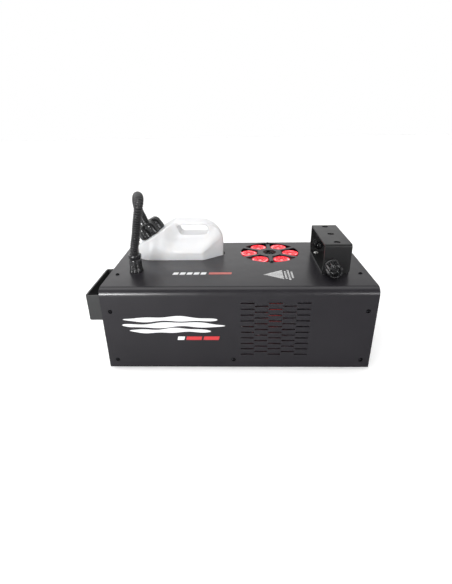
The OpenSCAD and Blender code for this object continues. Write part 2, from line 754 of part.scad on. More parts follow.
// Posts under the lid whose lips hold the edges of the light board and its heat sink
module led_spacers() in_body() color(STEEL) for (a = [90, 270]) at_ring(led_z - board_t - plate_t - lip_t)
    rotate(a) translate([ring_screw_r, 0, 0]) difference() {
        union() {
            cylinder(r = 3.4, h = deck - sheet - led_z + board_t + plate_t + lip_t);
            for (z = [0, lip_t + plate_t + board_t]) translate([-8, -3, z]) cube([8, 6, lip_t]);
        }
        translate([0, 0, 12]) cylinder(r = screw_r + gap, h = 40);
    }

// ---------- heater ----------

module at_heater() { translate([heater_x, heater_y, heater_z]) children(); }

module box_sleeve(l, d, h, t) {
    translate([-l / 2, 0, 0]) along_x(l) difference() {
        translate([-d / 2 - t, -t]) square([d + 2 * t, h + 2 * t]);
        translate([-d / 2, 0]) square([d, h]);
    }
}

module heater_block() in_body() color(STEEL) at_heater() difference() {
    translate([-heater_l / 2, -heater_d / 2, 0]) cube([heater_l, heater_d, heater_h]);
    for (y = [-15, 15]) translate([-heater_l / 2 + 10, y, 12]) face_right() cylinder(r = 6.1, h = heater_l);
    translate([-heater_l / 2 - 1, 0, 18]) face_right() cylinder(r = 2.5, h = heater_l / 2 + 1);
    translate([0, 0, 18]) cylinder(r = 2.5, h = 40);
    translate([0, 0, heater_h - 8]) cylinder(r = 6.05, h = 20);
}

module heater_cartridges() in_body() color("gainsboro") at_heater()
    for (y = [-15, 15]) translate([-heater_l / 2 + 12, y, 12]) face_right() cylinder(r = 6, h = heater_l);

module heater_insulation() in_body() color("lightyellow") at_heater() difference() {
    box_sleeve(heater_l, heater_d + 0.2, heater_h + 0.1, wool_t);
    translate([0, 0, heater_h - 5]) cylinder(r = 9.2, h = 20);
}

module heater_shroud() in_body() color(STEEL) at_heater() difference() {
    union() {
        translate([0, 0, -wool_t - gap])
            box_sleeve(heater_l, heater_d + 2 * wool_t + 4 * gap, heater_h + 2 * wool_t + 4 * gap, 1);
        for (s = [-1, 1]) {
            translate([-heater_l / 2, s * (heater_d / 2 + wool_t + 0.7) - 0.5, -heater_z + sheet])
                cube([heater_l, 1, heater_z]);
            translate([-heater_l / 2, s * (heater_d / 2 + wool_t + 5.7) - 5.5, -heater_z + sheet])
                cube([heater_l, 11, 1]);
        }
    }
    translate([0, 0, heater_h]) cylinder(r = 9.2, h = 30);
}

module thermostat() in_body() color("tan") at_heater() translate([heater_l / 2, 0, 24]) face_right() {
    cylinder(r = 7.5, h = 5);
    for (s = [-1, 1]) translate([s * 3.5, 0, 5 - eps]) cylinder(r = 1.2, h = 5);
}

module nozzle() in_body() color("goldenrod") at_heater() translate([0, 0, heater_h]) difference() {
    rise = deck - 3 - heater_z - heater_h;
    union() {
        translate([0, 0, -8]) cylinder(r = 6, h = 9);
        cylinder(r = 9, h = rise - 14);
        translate([0, 0, rise - 14 - eps]) cylinder(r1 = 9, r2 = 6, h = 10);
        translate([0, 0, rise - 4 - eps]) cylinder(r = 4.5, h = 4);
    }
    translate([0, 0, -20]) cylinder(r = 1.5, h = 200);
}

// ---------- pump ----------

module at_pump(z = 0) { translate([pump_x, pump_y, pump_z + z]) children(); }

module pump_body() in_body() color("dimgray") at_pump() difference() {
    union() {
        cylinder(r = pump_r, h = pump_l);
        translate([0, 0, pump_l - eps]) cylinder(r = 6, h = 6);
        translate([0, 0, pump_l + 6 - 2 * eps]) cylinder(r1 = 4.4, r2 = 3.4, h = 6);
        translate([0, 0, 7]) face_right() cylinder(r = 4, h = pump_r + 9);
    }
    translate([0, 0, chamber_z]) cylinder(r = plunger_r + 0.05, h = spring_l + plunger_l + 4);
    translate([0, 0, pump_l + 3]) cylinder(r = 3, h = 10);
    translate([0, 0, 7]) cylinder(r = 1.5, h = pump_l);
    translate([0, 0, 7]) face_right() cylinder(r = 2, h = 60);
}

module pump_plunger() in_body() color(STEEL) at_pump(chamber_z + spring_l) difference() {
    cylinder(r = plunger_r, h = plunger_l);
    translate([0, 0, -1]) cylinder(r = 1.5, h = plunger_l + 2);
}

module pump_spring() in_body() color(STEEL) at_pump(chamber_z + 1) {
    turns = 6;
    tube([for (i = [0:turns * 12]) [4.6 * cos(30 * i), 4.6 * sin(30 * i), (spring_l - 2) * i / (turns * 12)]],
        0.6, 0, 6, [0.01, 0.02, 1]);
}

module pump_bracket() in_body() color(STEEL) translate([pump_x, pump_y, sheet]) difference() {
    union() {
        for (z = [0, pump_z - sheet - 2]) translate([-28, -24, z]) cube([56, 48, 2]);
        for (s = [-1, 1]) translate([s * 27 - 1, -24, 0]) cube([2, 48, pump_z - sheet]);
    }
    translate([0, 0, pump_z - sheet - 4]) cylinder(r = 5, h = 10);
}

module delivery_pipe() in_body() color("peru") {
    out_x = pump_x + pump_r;
    in_x = heater_x - heater_l / 2;
    tube(spline([
        [out_x + 9.5, pump_y, pump_z + 7], [out_x + 22, pump_y, pump_z + 7],
        [out_x + 26, pump_y + 30, pump_z + 10], [out_x + 22, heater_y - 20, pump_z + 22],
        [in_x - 14, heater_y, heater_z + 18], [in_x - 0.5, heater_y, heater_z + 18]
    ]), 2.2, 1.4, 10, [0.1, 0.05, 1]);
}

// ---------- electronics ----------

module standoff_places() {
    reach = power_size / 2 - [5, 5];
    for (x = [-1, 1], y = [-1, 1])
        translate([power_at.x + x * reach.x, power_at.y + y * reach.y, sheet]) children();
}

module power_board() in_body() color("darkgreen") translate(power_at) linear_extrude(board_t)
    square(power_size, center = true);

module power_parts() in_body() translate(power_at + [0, 0, board_t]) {
    color("orange") translate([-26, -36, 0]) cube([30, 26, 22]);            // transformer
    color("royalblue") translate([10, -34, 0]) cube([18, 14, 15]);          // relay
    color("royalblue") translate([10, -16, 0]) cube([18, 14, 15]);          // relay
    color(STEEL) translate([-26, -2, 0]) cube([8, 34, 24]);                 // heat sink
    color(BLACK) for (y = [8, 22]) translate([-8, y, 0]) cylinder(r = 6, h = 18);   // capacitors
    color("green") translate([6, 20, 0]) cube([24, 9, 10]);                 // terminal block
}

module control_board() in_body() {
    color("darkgreen") translate([control_x - board_t, -92, control_z - 18]) cube([board_t, 144, 36]);
    color(BLACK) translate([control_x, display_y, control_z]) along_x(5)
        square(display_size + [6, 6], center = true);
    color(STEEL) for (y = button_y) translate([control_x, y, control_z]) along_x(switch_h)
        square([6, 6], center = true);
}

module board_standoffs() in_body() color(STEEL) {
    standoff_places() cylinder(r = 3, h = power_at.z - sheet);
    for (y = [-89, 49], z = [-15, 15]) translate([control_x, y, control_z + z]) face_right()
        cylinder(r = 2, h = panel_in - control_x);
}

module display_window() in_body() color("lightblue", 0.5) translate([panel_in - 1, display_y, control_z]) {
    along_x(sheet + 1.6) square(display_size - [0.4, 0.4], center = true);
}

// Push button: retaining collar behind the panel, cap in front of it
module push_button(y) {
    back_x = control_x + switch_h + button_slack + button_travel;
    stem = 2;
    translate([back_x, y, control_z]) face_right() {
        cylinder(r = 2.5, h = stem);
        translate([0, 0, stem - eps]) cylinder(r = button_r + 1.2, h = 1);
        translate([0, 0, stem]) cylinder(r = button_r, h = x_end + end_proud - back_x - stem);
    }
}

module button_menu() in_body() color(RUBBER) push_button(button_y[0]);
module button_down() in_body() color(RUBBER) push_button(button_y[1]);
module button_up() in_body() color(RUBBER) push_button(button_y[2]);
module button_enter() in_body() color(RUBBER) push_button(button_y[3]);

module power_inlet() in_body() color(RUBBER) translate([0, inlet_y, socket_z]) difference() {
    union() {
        translate([x_end, 0, 0]) along_x(bezel_t) pad2d(50, 46, 4);
        translate([x_end - 24, 0, 0]) along_x(24 + eps) square([29.6, 39.6], center = true);
    }
    // plug well, and below it the fuse drawer's slot
    translate([x_end - 16, 0, 7]) along_x(30) square([24, 16], center = true);
    translate([x_end - 20, 0, -11.5]) along_x(40) square([22.4, 9.4], center = true);
    for (s = [-1, 1]) translate([x_end, s * 20, 0]) face_right() cylinder(r = 1.5, h = 20, center = true);
}

module fuse_drawer() in_body() color(RUBBER) translate([0, inlet_y, socket_z - 11.5]) difference() {
    union() {
        translate([x_end - 19, 0, 0]) along_x(21.5) square([22, 9], center = true);
        translate([x_end + 2.1, 0, 0]) along_x(1.2) square([25, 12], center = true);
    }
    translate([x_end - 16, 0, 2]) along_x(12) square([18, 9], center = true);
}

module switch_housing() in_body() color(RUBBER) translate([0, rocker_y, socket_z]) difference() {
    union() {
        translate([x_end, 0, 0]) along_x(bezel_t) pad2d(26, 34, 2);
        translate([x_end - 20, 0, 0]) along_x(20 + eps) square([21.6, 29.6], center = true);
    }
    translate([x_end - 15, 0, 0]) along_x(30) square([18, 27], center = true);
    translate([rocker_pivot_x, 0, 0]) face_front() cylinder(r = trunnion_r + 0.06, h = 30, center = true);
}

// Rocker at its off position, tipped about its own trunnions along Y
module power_rocker() in_body() color("red") translate([rocker_pivot_x, rocker_y, socket_z]) {
    face_front() cylinder(r = trunnion_r, h = 20.8, center = true);
    rotate([0, rocker_tilt, 0]) along_y(17.4) polygon([
        [-8, -6], [-8, 6], [0, 12.2], [3.4, 12.4], [2, 0], [3.4, -12.4], [0, -12.2]
    ]);
}

module dmx_sockets() in_body() for (k = [0, 1]) translate([0, xlr_y[k], socket_z]) {
    color(BLACK) difference() {
        union() {
            translate([x_end, 0, 0]) along_x(bezel_t) pad2d(26, 31, 3);
            translate([x_end - 18, 0, 0]) face_right() cylinder(r = 12, h = 18 + eps);
        }
        if (k == 0) translate([x_end - 14, 0, 0]) face_right() cylinder(r = 9.6, h = 20);
        if (k == 1) {
            translate([x_end - 14, 0, 0]) face_right() difference() {
                cylinder(r = 10, h = 20);
                cylinder(r = 8, h = 14);
            }
            for (i = [0:2]) rotate([120 * i, 0, 0]) translate([x_end - 14, 0, 4.5]) face_right()
                cylinder(r = 1.4, h = 20);
        }
        for (s = [-1, 1]) translate([x_end, s * 9.5, s * 12]) face_right()
            cylinder(r = 1.5, h = 10, center = true);
    }
    if (k == 0) color(STEEL) for (i = [0:2]) rotate([120 * i, 0, 0])
        translate([x_end - 14, 0, 4.5]) face_right() cylinder(r = 1.2, h = 12);
}

module cable(points, r) { tube(spline(points, 5), r, 0, 8, [0.13, 0.31, 0.94]); }

module wiring_harness() in_body() {
    // mains, from the inlet to the terminal block
    color("saddlebrown") cable([
        [174, 64, 50], [166, 58, 48], [160, 30, 34], [171, -6, 24], [172, -27.4, 17]
    ], 2.5);
    // heater, from the terminal block
    color("white") cable([
        [120, 61, 38], [128, 56, 36], [134, 20, 30], [156, -6, 22], [164, -27.6, 17]
    ], 1.8);
    // power switch, to the terminal block
    color("red") cable([
        [178, 10, 46], [172, 6, 43], [179, -10, 28], [180, -27.8, 17]
    ], 1.8);
    // control board, to the power board
    color("gray") cable([
        [186, -20, 84], [178, -22, 78], [173, -34, 56], [174, -48, 30], [174, -50, 14]
    ], 1.8);
    // pump, from the power board
    color("gray") cable([
        [-37.5, -60, 58], [-20, -66, 62], [40, -90, 40], [100, -92, 24], [118, -70, 18], [121, -60, 14.5]
    ], 1.8);
}

cover();
base_plate();
left_end_panel();
right_end_panel();
bottle_pocket();
rubber_feet();
cover_screws();
underside_screws();
panel_screws();
carry_handle();
handle_bolts();
yoke_base();
yoke_base_bolts();
pivot_nuts();
yoke();
friction_washers();
front_knob();
rear_knob();
fluid_bottle();
bottle_cap();
cap_seal();
cap_gland();
dip_tube();
intake_filter();
conduit();
base_gland();
gland_locknut();
suction_hose();
led_board();
led_emitters();
led_lenses();
lens_holders();
led_heatsink();
led_spacers();
nozzle();
heater_block();
heater_cartridges();
heater_insulation();
heater_shroud();
thermostat();
pump_body();
pump_bracket();
pump_plunger();
pump_spring();
delivery_pipe();
power_board();
power_parts();
control_board();
board_standoffs();
display_window();
wiring_harness();
button_menu();
button_down();
button_up();
button_enter();
power_inlet();
fuse_drawer();
switch_housing();
power_rocker();
dmx_sockets();
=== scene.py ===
import math

import bmesh
import bpy
import numpy as np
from mathutils import Matrix, Vector


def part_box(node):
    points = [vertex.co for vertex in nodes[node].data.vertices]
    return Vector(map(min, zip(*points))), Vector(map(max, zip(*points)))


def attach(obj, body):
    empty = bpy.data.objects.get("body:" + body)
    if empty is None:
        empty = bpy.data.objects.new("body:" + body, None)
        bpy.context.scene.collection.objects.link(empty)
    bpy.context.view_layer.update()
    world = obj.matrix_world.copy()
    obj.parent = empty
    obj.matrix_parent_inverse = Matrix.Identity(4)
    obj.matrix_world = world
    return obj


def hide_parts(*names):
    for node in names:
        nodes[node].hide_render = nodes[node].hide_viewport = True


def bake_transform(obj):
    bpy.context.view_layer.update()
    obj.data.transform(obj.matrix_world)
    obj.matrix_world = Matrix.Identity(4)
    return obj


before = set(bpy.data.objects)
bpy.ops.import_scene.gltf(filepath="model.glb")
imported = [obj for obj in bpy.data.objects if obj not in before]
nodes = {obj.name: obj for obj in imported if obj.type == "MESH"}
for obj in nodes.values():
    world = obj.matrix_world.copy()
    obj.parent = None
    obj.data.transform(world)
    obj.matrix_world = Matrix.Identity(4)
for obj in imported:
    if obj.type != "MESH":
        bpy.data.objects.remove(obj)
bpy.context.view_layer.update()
MM = 0.001
# Vertices closer than this many metres are merged
WELD = 1e-7

# The body's own coordinates: millimetres from the middle of its underside
cover_low, cover_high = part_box("cover")
ORIGIN = Vector(((cover_low.x + cover_high.x) / 2, 0, cover_low.z))
DECK = (cover_high.z - cover_low.z) / MM
FRONT = cover_low.y / MM


def at(x, y, z):
    """A point of the body's own coordinates in the frame's metres."""
    return ORIGIN + Vector((x, y, z)) * MM


def box_mm(name):
    """The low corner, the middle and the high corner of a CAD node, in the body's own coordinates."""
    low, high = ([(c - o) / MM for c, o in zip(corner, ORIGIN)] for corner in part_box(name))
    return low, [(a + b) / 2 for a, b in zip(low, high)], high


# ---------- mesh helpers ----------


def linked(name, data):
    """Adds an object to the scene."""
    ob = bpy.data.objects.new(name, data)
    bpy.context.scene.collection.objects.link(ob)
    return ob


def mesh_of(name, verts, faces):
    mesh = bpy.data.meshes.new(name)
    mesh.from_pydata([tuple(v) for v in verts], [], faces)
    return mesh


def face_outward(mesh, weld=0.0):
    """Turns every face outward, after merging the vertices closer than weld."""
    bm = bmesh.new()
    bm.from_mesh(mesh)
    if weld:
        bmesh.ops.remove_doubles(bm, verts=bm.verts, dist=weld)
    bmesh.ops.recalc_face_normals(bm, faces=bm.faces)
    bm.to_mesh(mesh)
    bm.free()


def new_piece(name, verts, faces, body, mat, replaces=(), smooth=40):
    """Places a piece made of vertices in metres; edges sharper than smooth degrees stay sharp."""
    return place(name, mesh_of(name, verts, faces), body, mat, replaces, smooth)


def place(name, mesh, body, mat, replaces, smooth):
    face_outward(mesh, WELD)
    ob = linked(name, mesh)
    mesh.shade_smooth()
    if smooth < 180:
        mesh.set_sharp_from_angle(angle=math.radians(smooth))
    mesh.materials.append(mat)
    if body:
        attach(ob, body)
    if replaces:
        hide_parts(*replaces)
    return ob


def revolve(profile, sides, lobe=None, ring=False):
    """Turns (radius, height, lobing) rows about Z, in millimetres. lobe(angle) gives the depth cut at lobing 1."""
    verts, faces, rows = [], [], []
    for r, z, k in profile:
        if r <= 0:
            rows.append([len(verts)] * sides)
            verts.append(Vector((0, 0, z)) * MM)
            continue
        rows.append(list(range(len(verts), len(verts) + sides)))
        for i in range(sides):
            a = 2 * math.pi * i / sides
            q = r - (k * lobe(a) if lobe and k else 0)
            verts.append(Vector((q * math.cos(a), q * math.sin(a), z)) * MM)
    pairs = list(zip(rows, rows[1:])) + ([(rows[-1], rows[0])] if ring else [])
    for low, high in pairs:
        for i in range(sides):
            j = (i + 1) % sides
            face = [low[i], low[j], high[j], high[i]]
            face = [v for n, v in enumerate(face) if v not in face[:n]]
            if len(face) > 2:
                faces.append(face)
    return verts, faces


def rounded(points, radius, steps=4):
    """Rounds the inner corners of an open profile of (r, z, lobing) rows."""
    out = [points[0]]
    for a, b, c in zip(points, points[1:], points[2:]):
        va = Vector((a[0] - b[0], a[1] - b[1]))
        vc = Vector((c[0] - b[0], c[1] - b[1]))
        d = min(radius, va.length / 2.05, vc.length / 2.05)
        if d < 0.05:
            out.append(b)
            continue
        p, q = va.normalized() * d, vc.normalized() * d
        for s in range(steps + 1):
            t = s / steps
            e = p * (1 - t) ** 2 + q * t**2
            out.append((b[0] + e.x, b[1] + e.y, b[2]))
    out.append(points[-1])
    return out


def lobes(count, lobe_r, lobe_at, top_r, floor_r, phase, blend):
    """Depth of the grooves between round lobes, as a function of the angle."""

    def depth(a):
        step = 2 * math.pi / count
        phi = (a - phase + step / 2) % step - step / 2
        s = lobe_at * math.sin(phi)
        reach = lobe_at * math.cos(phi) + math.sqrt(lobe_r**2 - s * s) if abs(s) < lobe_r else 0.0
        r = (max(reach, 0.1) ** blend + floor_r**blend) ** (1 / blend)
        return top_r - min(r, top_r)

    return depth


def moved(verts, matrix):
    return [matrix @ Vector(v) for v in verts]


def catmull(points, steps):
    """A smooth curve through the points, with this many steps between two of them."""
    pts = [Vector(p) for p in points]
    out = []
    for i in range(len(pts) - 1):
        a, b = pts[max(i - 1, 0)], pts[i]
        c, d = pts[i + 1], pts[min(i + 2, len(pts) - 1)]
        for k in range(steps):
            t = k / steps
            out.append(0.5 * (2 * b + (c - a) * t + (2 * a - 5 * b + 4 * c - d) * t * t
                              + (3 * b - a - 3 * c + d) * t**3))
    out.append(pts[-1])
    return out


def resample(path, pitch):
    """Evenly spaced points along a path, about a pitch apart."""
    gaps = [(b - a).length for a, b in zip(path, path[1:])]
    total = sum(gaps)
    count = max(2, round(total / pitch))
    out, i, done = [], 0, 0.0
    for n in range(count + 1):
        want = total * n / count
        while i < len(gaps) - 1 and done + gaps[i] < want:
            done += gaps[i]
            i += 1
        t = (want - done) / gaps[i] if gaps[i] else 0
        out.append(path[i].lerp(path[i + 1], min(t, 1)))
    return out


def sweep(path, radius, bore, sides):
    """A hollow tube in millimetres along a path; radius is a function of the step."""
    n = len(path)
    t = (path[1] - path[0]).normalized()
    u = t.orthogonal().normalized()
    frames = []
    for i in range(n):
        new_t = (path[min(i + 1, n - 1)] - path[max(i - 1, 0)]).normalized()
        u = (t.rotation_difference(new_t) @ u).normalized()
        t = new_t
        frames.append((path[i], u.copy(), t.cross(u).normalized()))
    verts = []
    for shell in (radius, bore):
        for i, (p, a, b) in enumerate(frames):
            for j in range(sides):
                w = 2 * math.pi * j / sides
                verts.append((p + (a * math.cos(w) + b * math.sin(w)) * shell(i)) * MM)
    faces = []
    m = n * sides
    for i in range(n - 1):
        for j in range(sides):
            k = (j + 1) % sides
            faces.append([i * sides + j, i * sides + k, (i + 1) * sides + k, (i + 1) * sides + j])
            faces.append([m + i * sides + k, m + i * sides + j, m + (i + 1) * sides + j, m + (i + 1) * sides + k])
    for i in (0, n - 1):
        for j in range(sides):
            k = (j + 1) % sides
            ring = [i * sides + j, m + i * sides + j, m + i * sides + k, i * sides + k]
            faces.append(ring if i == 0 else ring[::-1])
    return verts, faces


def prism(outline, low, high, to_space):
    """A closed solid from an outline of (a, b) pairs between two heights; to_space maps (a, b, height)."""
    n = len(outline)
    verts = [to_space(a, b, low) for a, b in outline] + [to_space(a, b, high) for a, b in outline]
    faces = [list(range(n - 1, -1, -1)), list(range(n, 2 * n))]
    faces += [[i, (i + 1) % n, n + (i + 1) % n, n + i] for i in range(n)]
    return verts, faces


def merge(parts):
    """Joins several (vertices, faces) pairs into one."""
    verts, faces = [], []
    for v, f in parts:
        faces += [[i + len(verts) for i in face] for face in f]
        verts += list(v)
    return verts, faces


def fillet(points, radii, steps=8):
    """Rounds each corner of a closed outline by its own radius."""
    out = []
    n = len(points)
    for i in range(n):
        p = Vector(points[i])
        a = (p - Vector(points[i - 1])).normalized()
        b = (Vector(points[(i + 1) % n]) - p).normalized()
        bend = math.atan2(a.x * b.y - a.y * b.x, a.dot(b))
        r = radii[i]
        start = p - a * r * math.tan(abs(bend) / 2)
        side = math.copysign(1, bend)
        centre = start + Vector((-a.y, a.x)) * r * side
        for k in range(steps + 1):
            w = bend * k / steps
            d = start - centre
            out.append((centre.x + d.x * math.cos(w) - d.y * math.sin(w),
                        centre.y + d.x * math.sin(w) + d.y * math.cos(w)))
    return out


# ---------- materials ----------


class Tree:
    """Steps that build any node tree."""

    def __init__(self, tree):
        self.t = tree

    def add(self, kind, **props):
        node = self.t.nodes.new(kind)
        for k, v in props.items():
            setattr(node, k, v)
        return node

    def link(self, a, b):
        self.t.links.new(a, b)
        return self

    def ramp(self, value, low, high, to_low=0.0, to_high=1.0, **props):
        node = self.add("ShaderNodeMapRange", **props)
        for key, v in zip(("From Min", "From Max", "To Min", "To Max"), (low, high, to_low, to_high)):
            node.inputs[key].default_value = v
        self.link(value, node.inputs["Value"])
        return node.outputs["Result"]

    def math(self, op, a, b=0.0):
        node = self.add("ShaderNodeMath", operation=op)
        for slot, v in zip(node.inputs, (a, b)):
            if isinstance(v, (int, float)):
                slot.default_value = v
            else:
                self.link(v, slot)
        return node.outputs[0]


class Mat(Tree):
    """A node material built step by step; every coordinate is in metres in the object's own space."""

    def __init__(self, name, base, rough, metal=0.0, **inputs):
        self.m = bpy.data.materials.new(name)
        self.m.use_nodes = True
        super().__init__(self.m.node_tree)
        self.p = self.t.nodes["Principled BSDF"]
        self.p.inputs["Base Color"].default_value = (*base, 1)
        self.p.inputs["Roughness"].default_value = rough
        self.p.inputs["Metallic"].default_value = metal
        for key, value in inputs.items():
            self.p.inputs[key.replace("_", " ")].default_value = value
        self.coord = self.add("ShaderNodeTexCoord").outputs["Object"]
        self.height = None

    def noise(self, scale, detail=3.0, stretch=None, distort=0.0):
        src = self.coord
        if stretch:
            mapping = self.add("ShaderNodeMapping")
            mapping.inputs["Scale"].default_value = stretch
            self.link(src, mapping.inputs["Vector"])
            src = mapping.outputs[0]
        node = self.add("ShaderNodeTexNoise")
        node.inputs["Scale"].default_value = scale
        node.inputs["Detail"].default_value = detail
        node.inputs["Distortion"].default_value = distort
        self.link(src, node.inputs["Vector"])
        return node.outputs["Fac"]

    def voronoi(self, scale):
        node = self.add("ShaderNodeTexVoronoi")
        node.inputs["Scale"].default_value = scale
        self.link(self.coord, node.inputs["Vector"])
        return node.outputs["Distance"]

    def wave(self, scale, distort):
        node = self.add("ShaderNodeTexWave")
        node.inputs["Scale"].default_value = scale
        node.inputs["Distortion"].default_value = distort
        self.link(self.coord, node.inputs["Vector"])
        return node.outputs["Fac"]

    def mix(self, factor, a, b):
        node = self.add("ShaderNodeMix", data_type="RGBA")
        self.link(factor, node.inputs["Factor"])
        for key, v in (("A", a), ("B", b)):
            slot = [s for s in node.inputs if s.name == key and s.type == "RGBA"][0]
            if isinstance(v, tuple):
                slot.default_value = (*v, 1)
            else:
                self.link(v, slot)
        return [s for s in node.outputs if s.type == "RGBA"][0]

    def colour(self, socket):
        return self.link(socket, self.p.inputs["Base Color"])

    def rough(self, value, low, high):
        """Spreads the roughness over this range by the middle of a 0 to 1 value."""
        return self.link(self.ramp(value, 0.3, 0.7, low, high), self.p.inputs["Roughness"])

    def bump(self, value, depth, strength=1.0):
        """Adds a bump of this depth in metres."""
        node = self.add("ShaderNodeBump")
        node.inputs["Distance"].default_value = depth
        node.inputs["Strength"].default_value = strength
        self.link(value, node.inputs["Height"])
        if self.height is not None:
            self.link(self.height, node.inputs["Normal"])
        self.height = node.outputs["Normal"]
        return self.link(self.height, self.p.inputs["Normal"])

    def soft_edges(self, radius):
        """Rounds sharp edges in the shading."""
        node = self.add("ShaderNodeBevel", samples=4)
        node.inputs["Radius"].default_value = radius
        self.height = node.outputs["Normal"]
        return self.link(self.height, self.p.inputs["Normal"])

    def edge(self, radius):
        """Near 1 along edges: how far the rounded normal leans from the true one."""
        bevel = self.add("ShaderNodeBevel", samples=4)
        bevel.inputs["Radius"].default_value = radius
        dot = self.add("ShaderNodeVectorMath", operation="DOT_PRODUCT")
        self.link(bevel.outputs["Normal"], dot.inputs[0])
        self.link(self.add("ShaderNodeNewGeometry").outputs["Normal"], dot.inputs[1])
        return self.ramp(self.math("SUBTRACT", 1.0, dot.outputs["Value"]), 0.02, 0.25)


def scaled(colour, factor):
    return tuple(c * factor for c in colour)


# Light grey painted along the paint's edges as a highlight
EDGE_HIGHLIGHT_GREY = (0.16, 0.16, 0.17)


def powder_coat(name, base, rough, grain=1500, depth=0.00004):
    """Fine-grained paint, lighter in specks, with a painted highlight of light grey in patches along the edges."""
    k = Mat(name, base, rough, Specular_IOR_Level=0.5)
    k.soft_edges(0.0007)
    tone = k.ramp(k.noise(9, 4), 0.3, 0.7)
    body = k.mix(tone, scaled(base, 0.86), scaled(base, 1.14))
    speck = k.ramp(k.noise(2600, 1), 0.62, 0.75, 0, 0.35)
    body = k.mix(speck, body, scaled(base, 2.2))
    # Painted edge highlight: the edge mask, broken up by noise, turns the paint light grey
    edge_highlight_mask = k.math("MULTIPLY", k.edge(0.0008), k.ramp(k.noise(160, 4), 0.45, 0.7, 0, 0.5))
    k.colour(k.mix(edge_highlight_mask, body, EDGE_HIGHLIGHT_GREY))
    k.rough(k.noise(60, 2), rough - 0.025, rough + 0.025)
    k.bump(k.noise(grain, 2), depth, 0.6)
    return k.m


def moulded(name, base, rough, grain=700, depth=0.00003, coat=0.0):
    """Plastic, rubber or ceramic with a fine moulded grain."""
    k = Mat(name, base, rough, Coat_Weight=coat, Coat_Roughness=0.12)
    k.soft_edges(0.0005)
    k.colour(k.mix(k.ramp(k.noise(45, 4), 0.3, 0.7), scaled(base, 0.8), scaled(base, 1.25)))
    k.rough(k.noise(220, 4), max(rough - 0.08, 0.05), rough + 0.1)
    k.bump(k.noise(grain, 3), depth, 0.7)
    return k.m


def plated(name, base, rough, stretch=None, depth=0.00002):
    """Bare or plated metal; stretch draws its marks out along an axis."""
    k = Mat(name, base, rough, 1.0)
    k.soft_edges(0.0004)
    k.colour(k.mix(k.ramp(k.noise(70, 5, stretch), 0.3, 0.7), scaled(base, 0.78), base))
    k.rough(k.noise(400, 4, stretch), rough - 0.08, rough + 0.12)
    k.bump(k.noise(1200, 2, stretch), depth, 0.5)
    return k.m


def circuit_board():
    k = Mat("circuit_board", (0.02, 0.12, 0.05), 0.35, Coat_Weight=0.5, Coat_Roughness=0.15)
    k.soft_edges(0.0003)
    brick = k.add("ShaderNodeTexBrick")
    brick.inputs["Scale"].default_value = 160
    brick.inputs["Mortar Size"].default_value = 0.06
    k.link(k.coord, brick.inputs["Vector"])
    traces = k.ramp(brick.outputs["Fac"], 0.2, 0.8)
    pads = k.ramp(k.voronoi(260), 0.16, 0.12)
    green = k.mix(traces, (0.012, 0.09, 0.035), (0.03, 0.2, 0.08))
    k.colour(k.mix(pads, green, (0.62, 0.6, 0.5)))
    k.rough(k.noise(300, 3), 0.25, 0.45)
    k.bump(traces, 0.00005, 0.6)
    return k.m


def palette(name, colours, rough, grain):
    """A different colour for each separate part of one piece."""
    k = Mat(name, colours[0], rough)
    k.soft_edges(0.0004)
    ramp = k.add("ShaderNodeValToRGB")
    ramp.color_ramp.interpolation = "CONSTANT"
    stops = ramp.color_ramp.elements
    stops[0].color = (*colours[0], 1)
    stops[1].position = 1 / len(colours)
    stops[1].color = (*colours[1], 1)
    for i, c in enumerate(colours[2:], 2):
        stops.new(i / len(colours)).color = (*c, 1)
    k.link(k.add("ShaderNodeNewGeometry").outputs["Random Per Island"], ramp.inputs["Fac"])
    shade = k.add("ShaderNodeMix", data_type="RGBA", blend_type="MULTIPLY")
    k.link(k.ramp(k.noise(grain, 4), 0.3, 0.7, 0.7, 1.0), shade.inputs["Factor"])
    tone = k.ramp(k.noise(120, 3), 0.3, 0.7, 0.75, 1.0)
    grey = k.add("ShaderNodeCombineColor")
    for s in grey.inputs[:3]:
        k.link(tone, s)
    rgba = [s for s in shade.inputs if s.type == "RGBA"]
    k.link(ramp.outputs["Color"], rgba[0])
    k.link(grey.outputs[0], rgba[1])
    k.colour([s for s in shade.outputs if s.type == "RGBA"][0])
    k.rough(k.noise(260, 3), rough - 0.08, rough + 0.12)
    k.bump(k.noise(grain, 3), 0.00006, 0.7)
    return k.m


def wool():
    k = Mat("wool", (0.75, 0.68, 0.5), 0.95, Sheen_Weight=0.4)
    fibre = k.noise(500, 6, (1, 4, 4), 1.5)
    k.colour(k.mix(k.ramp(fibre, 0.35, 0.65), (0.52, 0.44, 0.28), (0.86, 0.8, 0.64)))
    k.rough(k.noise(80, 3), 0.85, 0.98)
    k.bump(fibre, 0.0006, 1.0)
    return k.m


def bottle_plastic():
    """Milky polyethylene with a faint painted glow that brightens it, a little darker below the fluid's level."""
    k = Mat("bottle_plastic", (0.86, 0.865, 0.875), 0.38, Subsurface_Weight=0.7, Subsurface_Scale=0.01,
            Coat_Weight=0.12, Coat_Roughness=0.3)
    k.p.inputs["Subsurface Radius"].default_value = (1.0, 0.95, 0.9)
    # A faint white glow painted in, brightening the whole bottle
    k.p.inputs["Emission Color"].default_value = (1, 1, 1, 1)
    k.p.inputs["Emission Strength"].default_value = 0.015
    cloud = k.ramp(k.noise(26, 4), 0.3, 0.7)
    body = k.mix(cloud, (0.84, 0.845, 0.855), (0.89, 0.89, 0.895))
    split = k.add("ShaderNodeSeparateXYZ")
    k.link(k.coord, split.inputs[0])
    level = at(0, 0, DECK + 6).z
    wet = k.ramp(split.outputs["Z"], level + 0.002, level - 0.003, 0, 0.55)
    k.colour(k.mix(wet, body, (0.82, 0.83, 0.85)))
    k.rough(k.noise(90, 4), 0.32, 0.46)
    k.bump(k.noise(34, 3), 0.0006, 0.35)
    k.bump(k.noise(900, 3), 0.00003, 0.5)
    return k.m


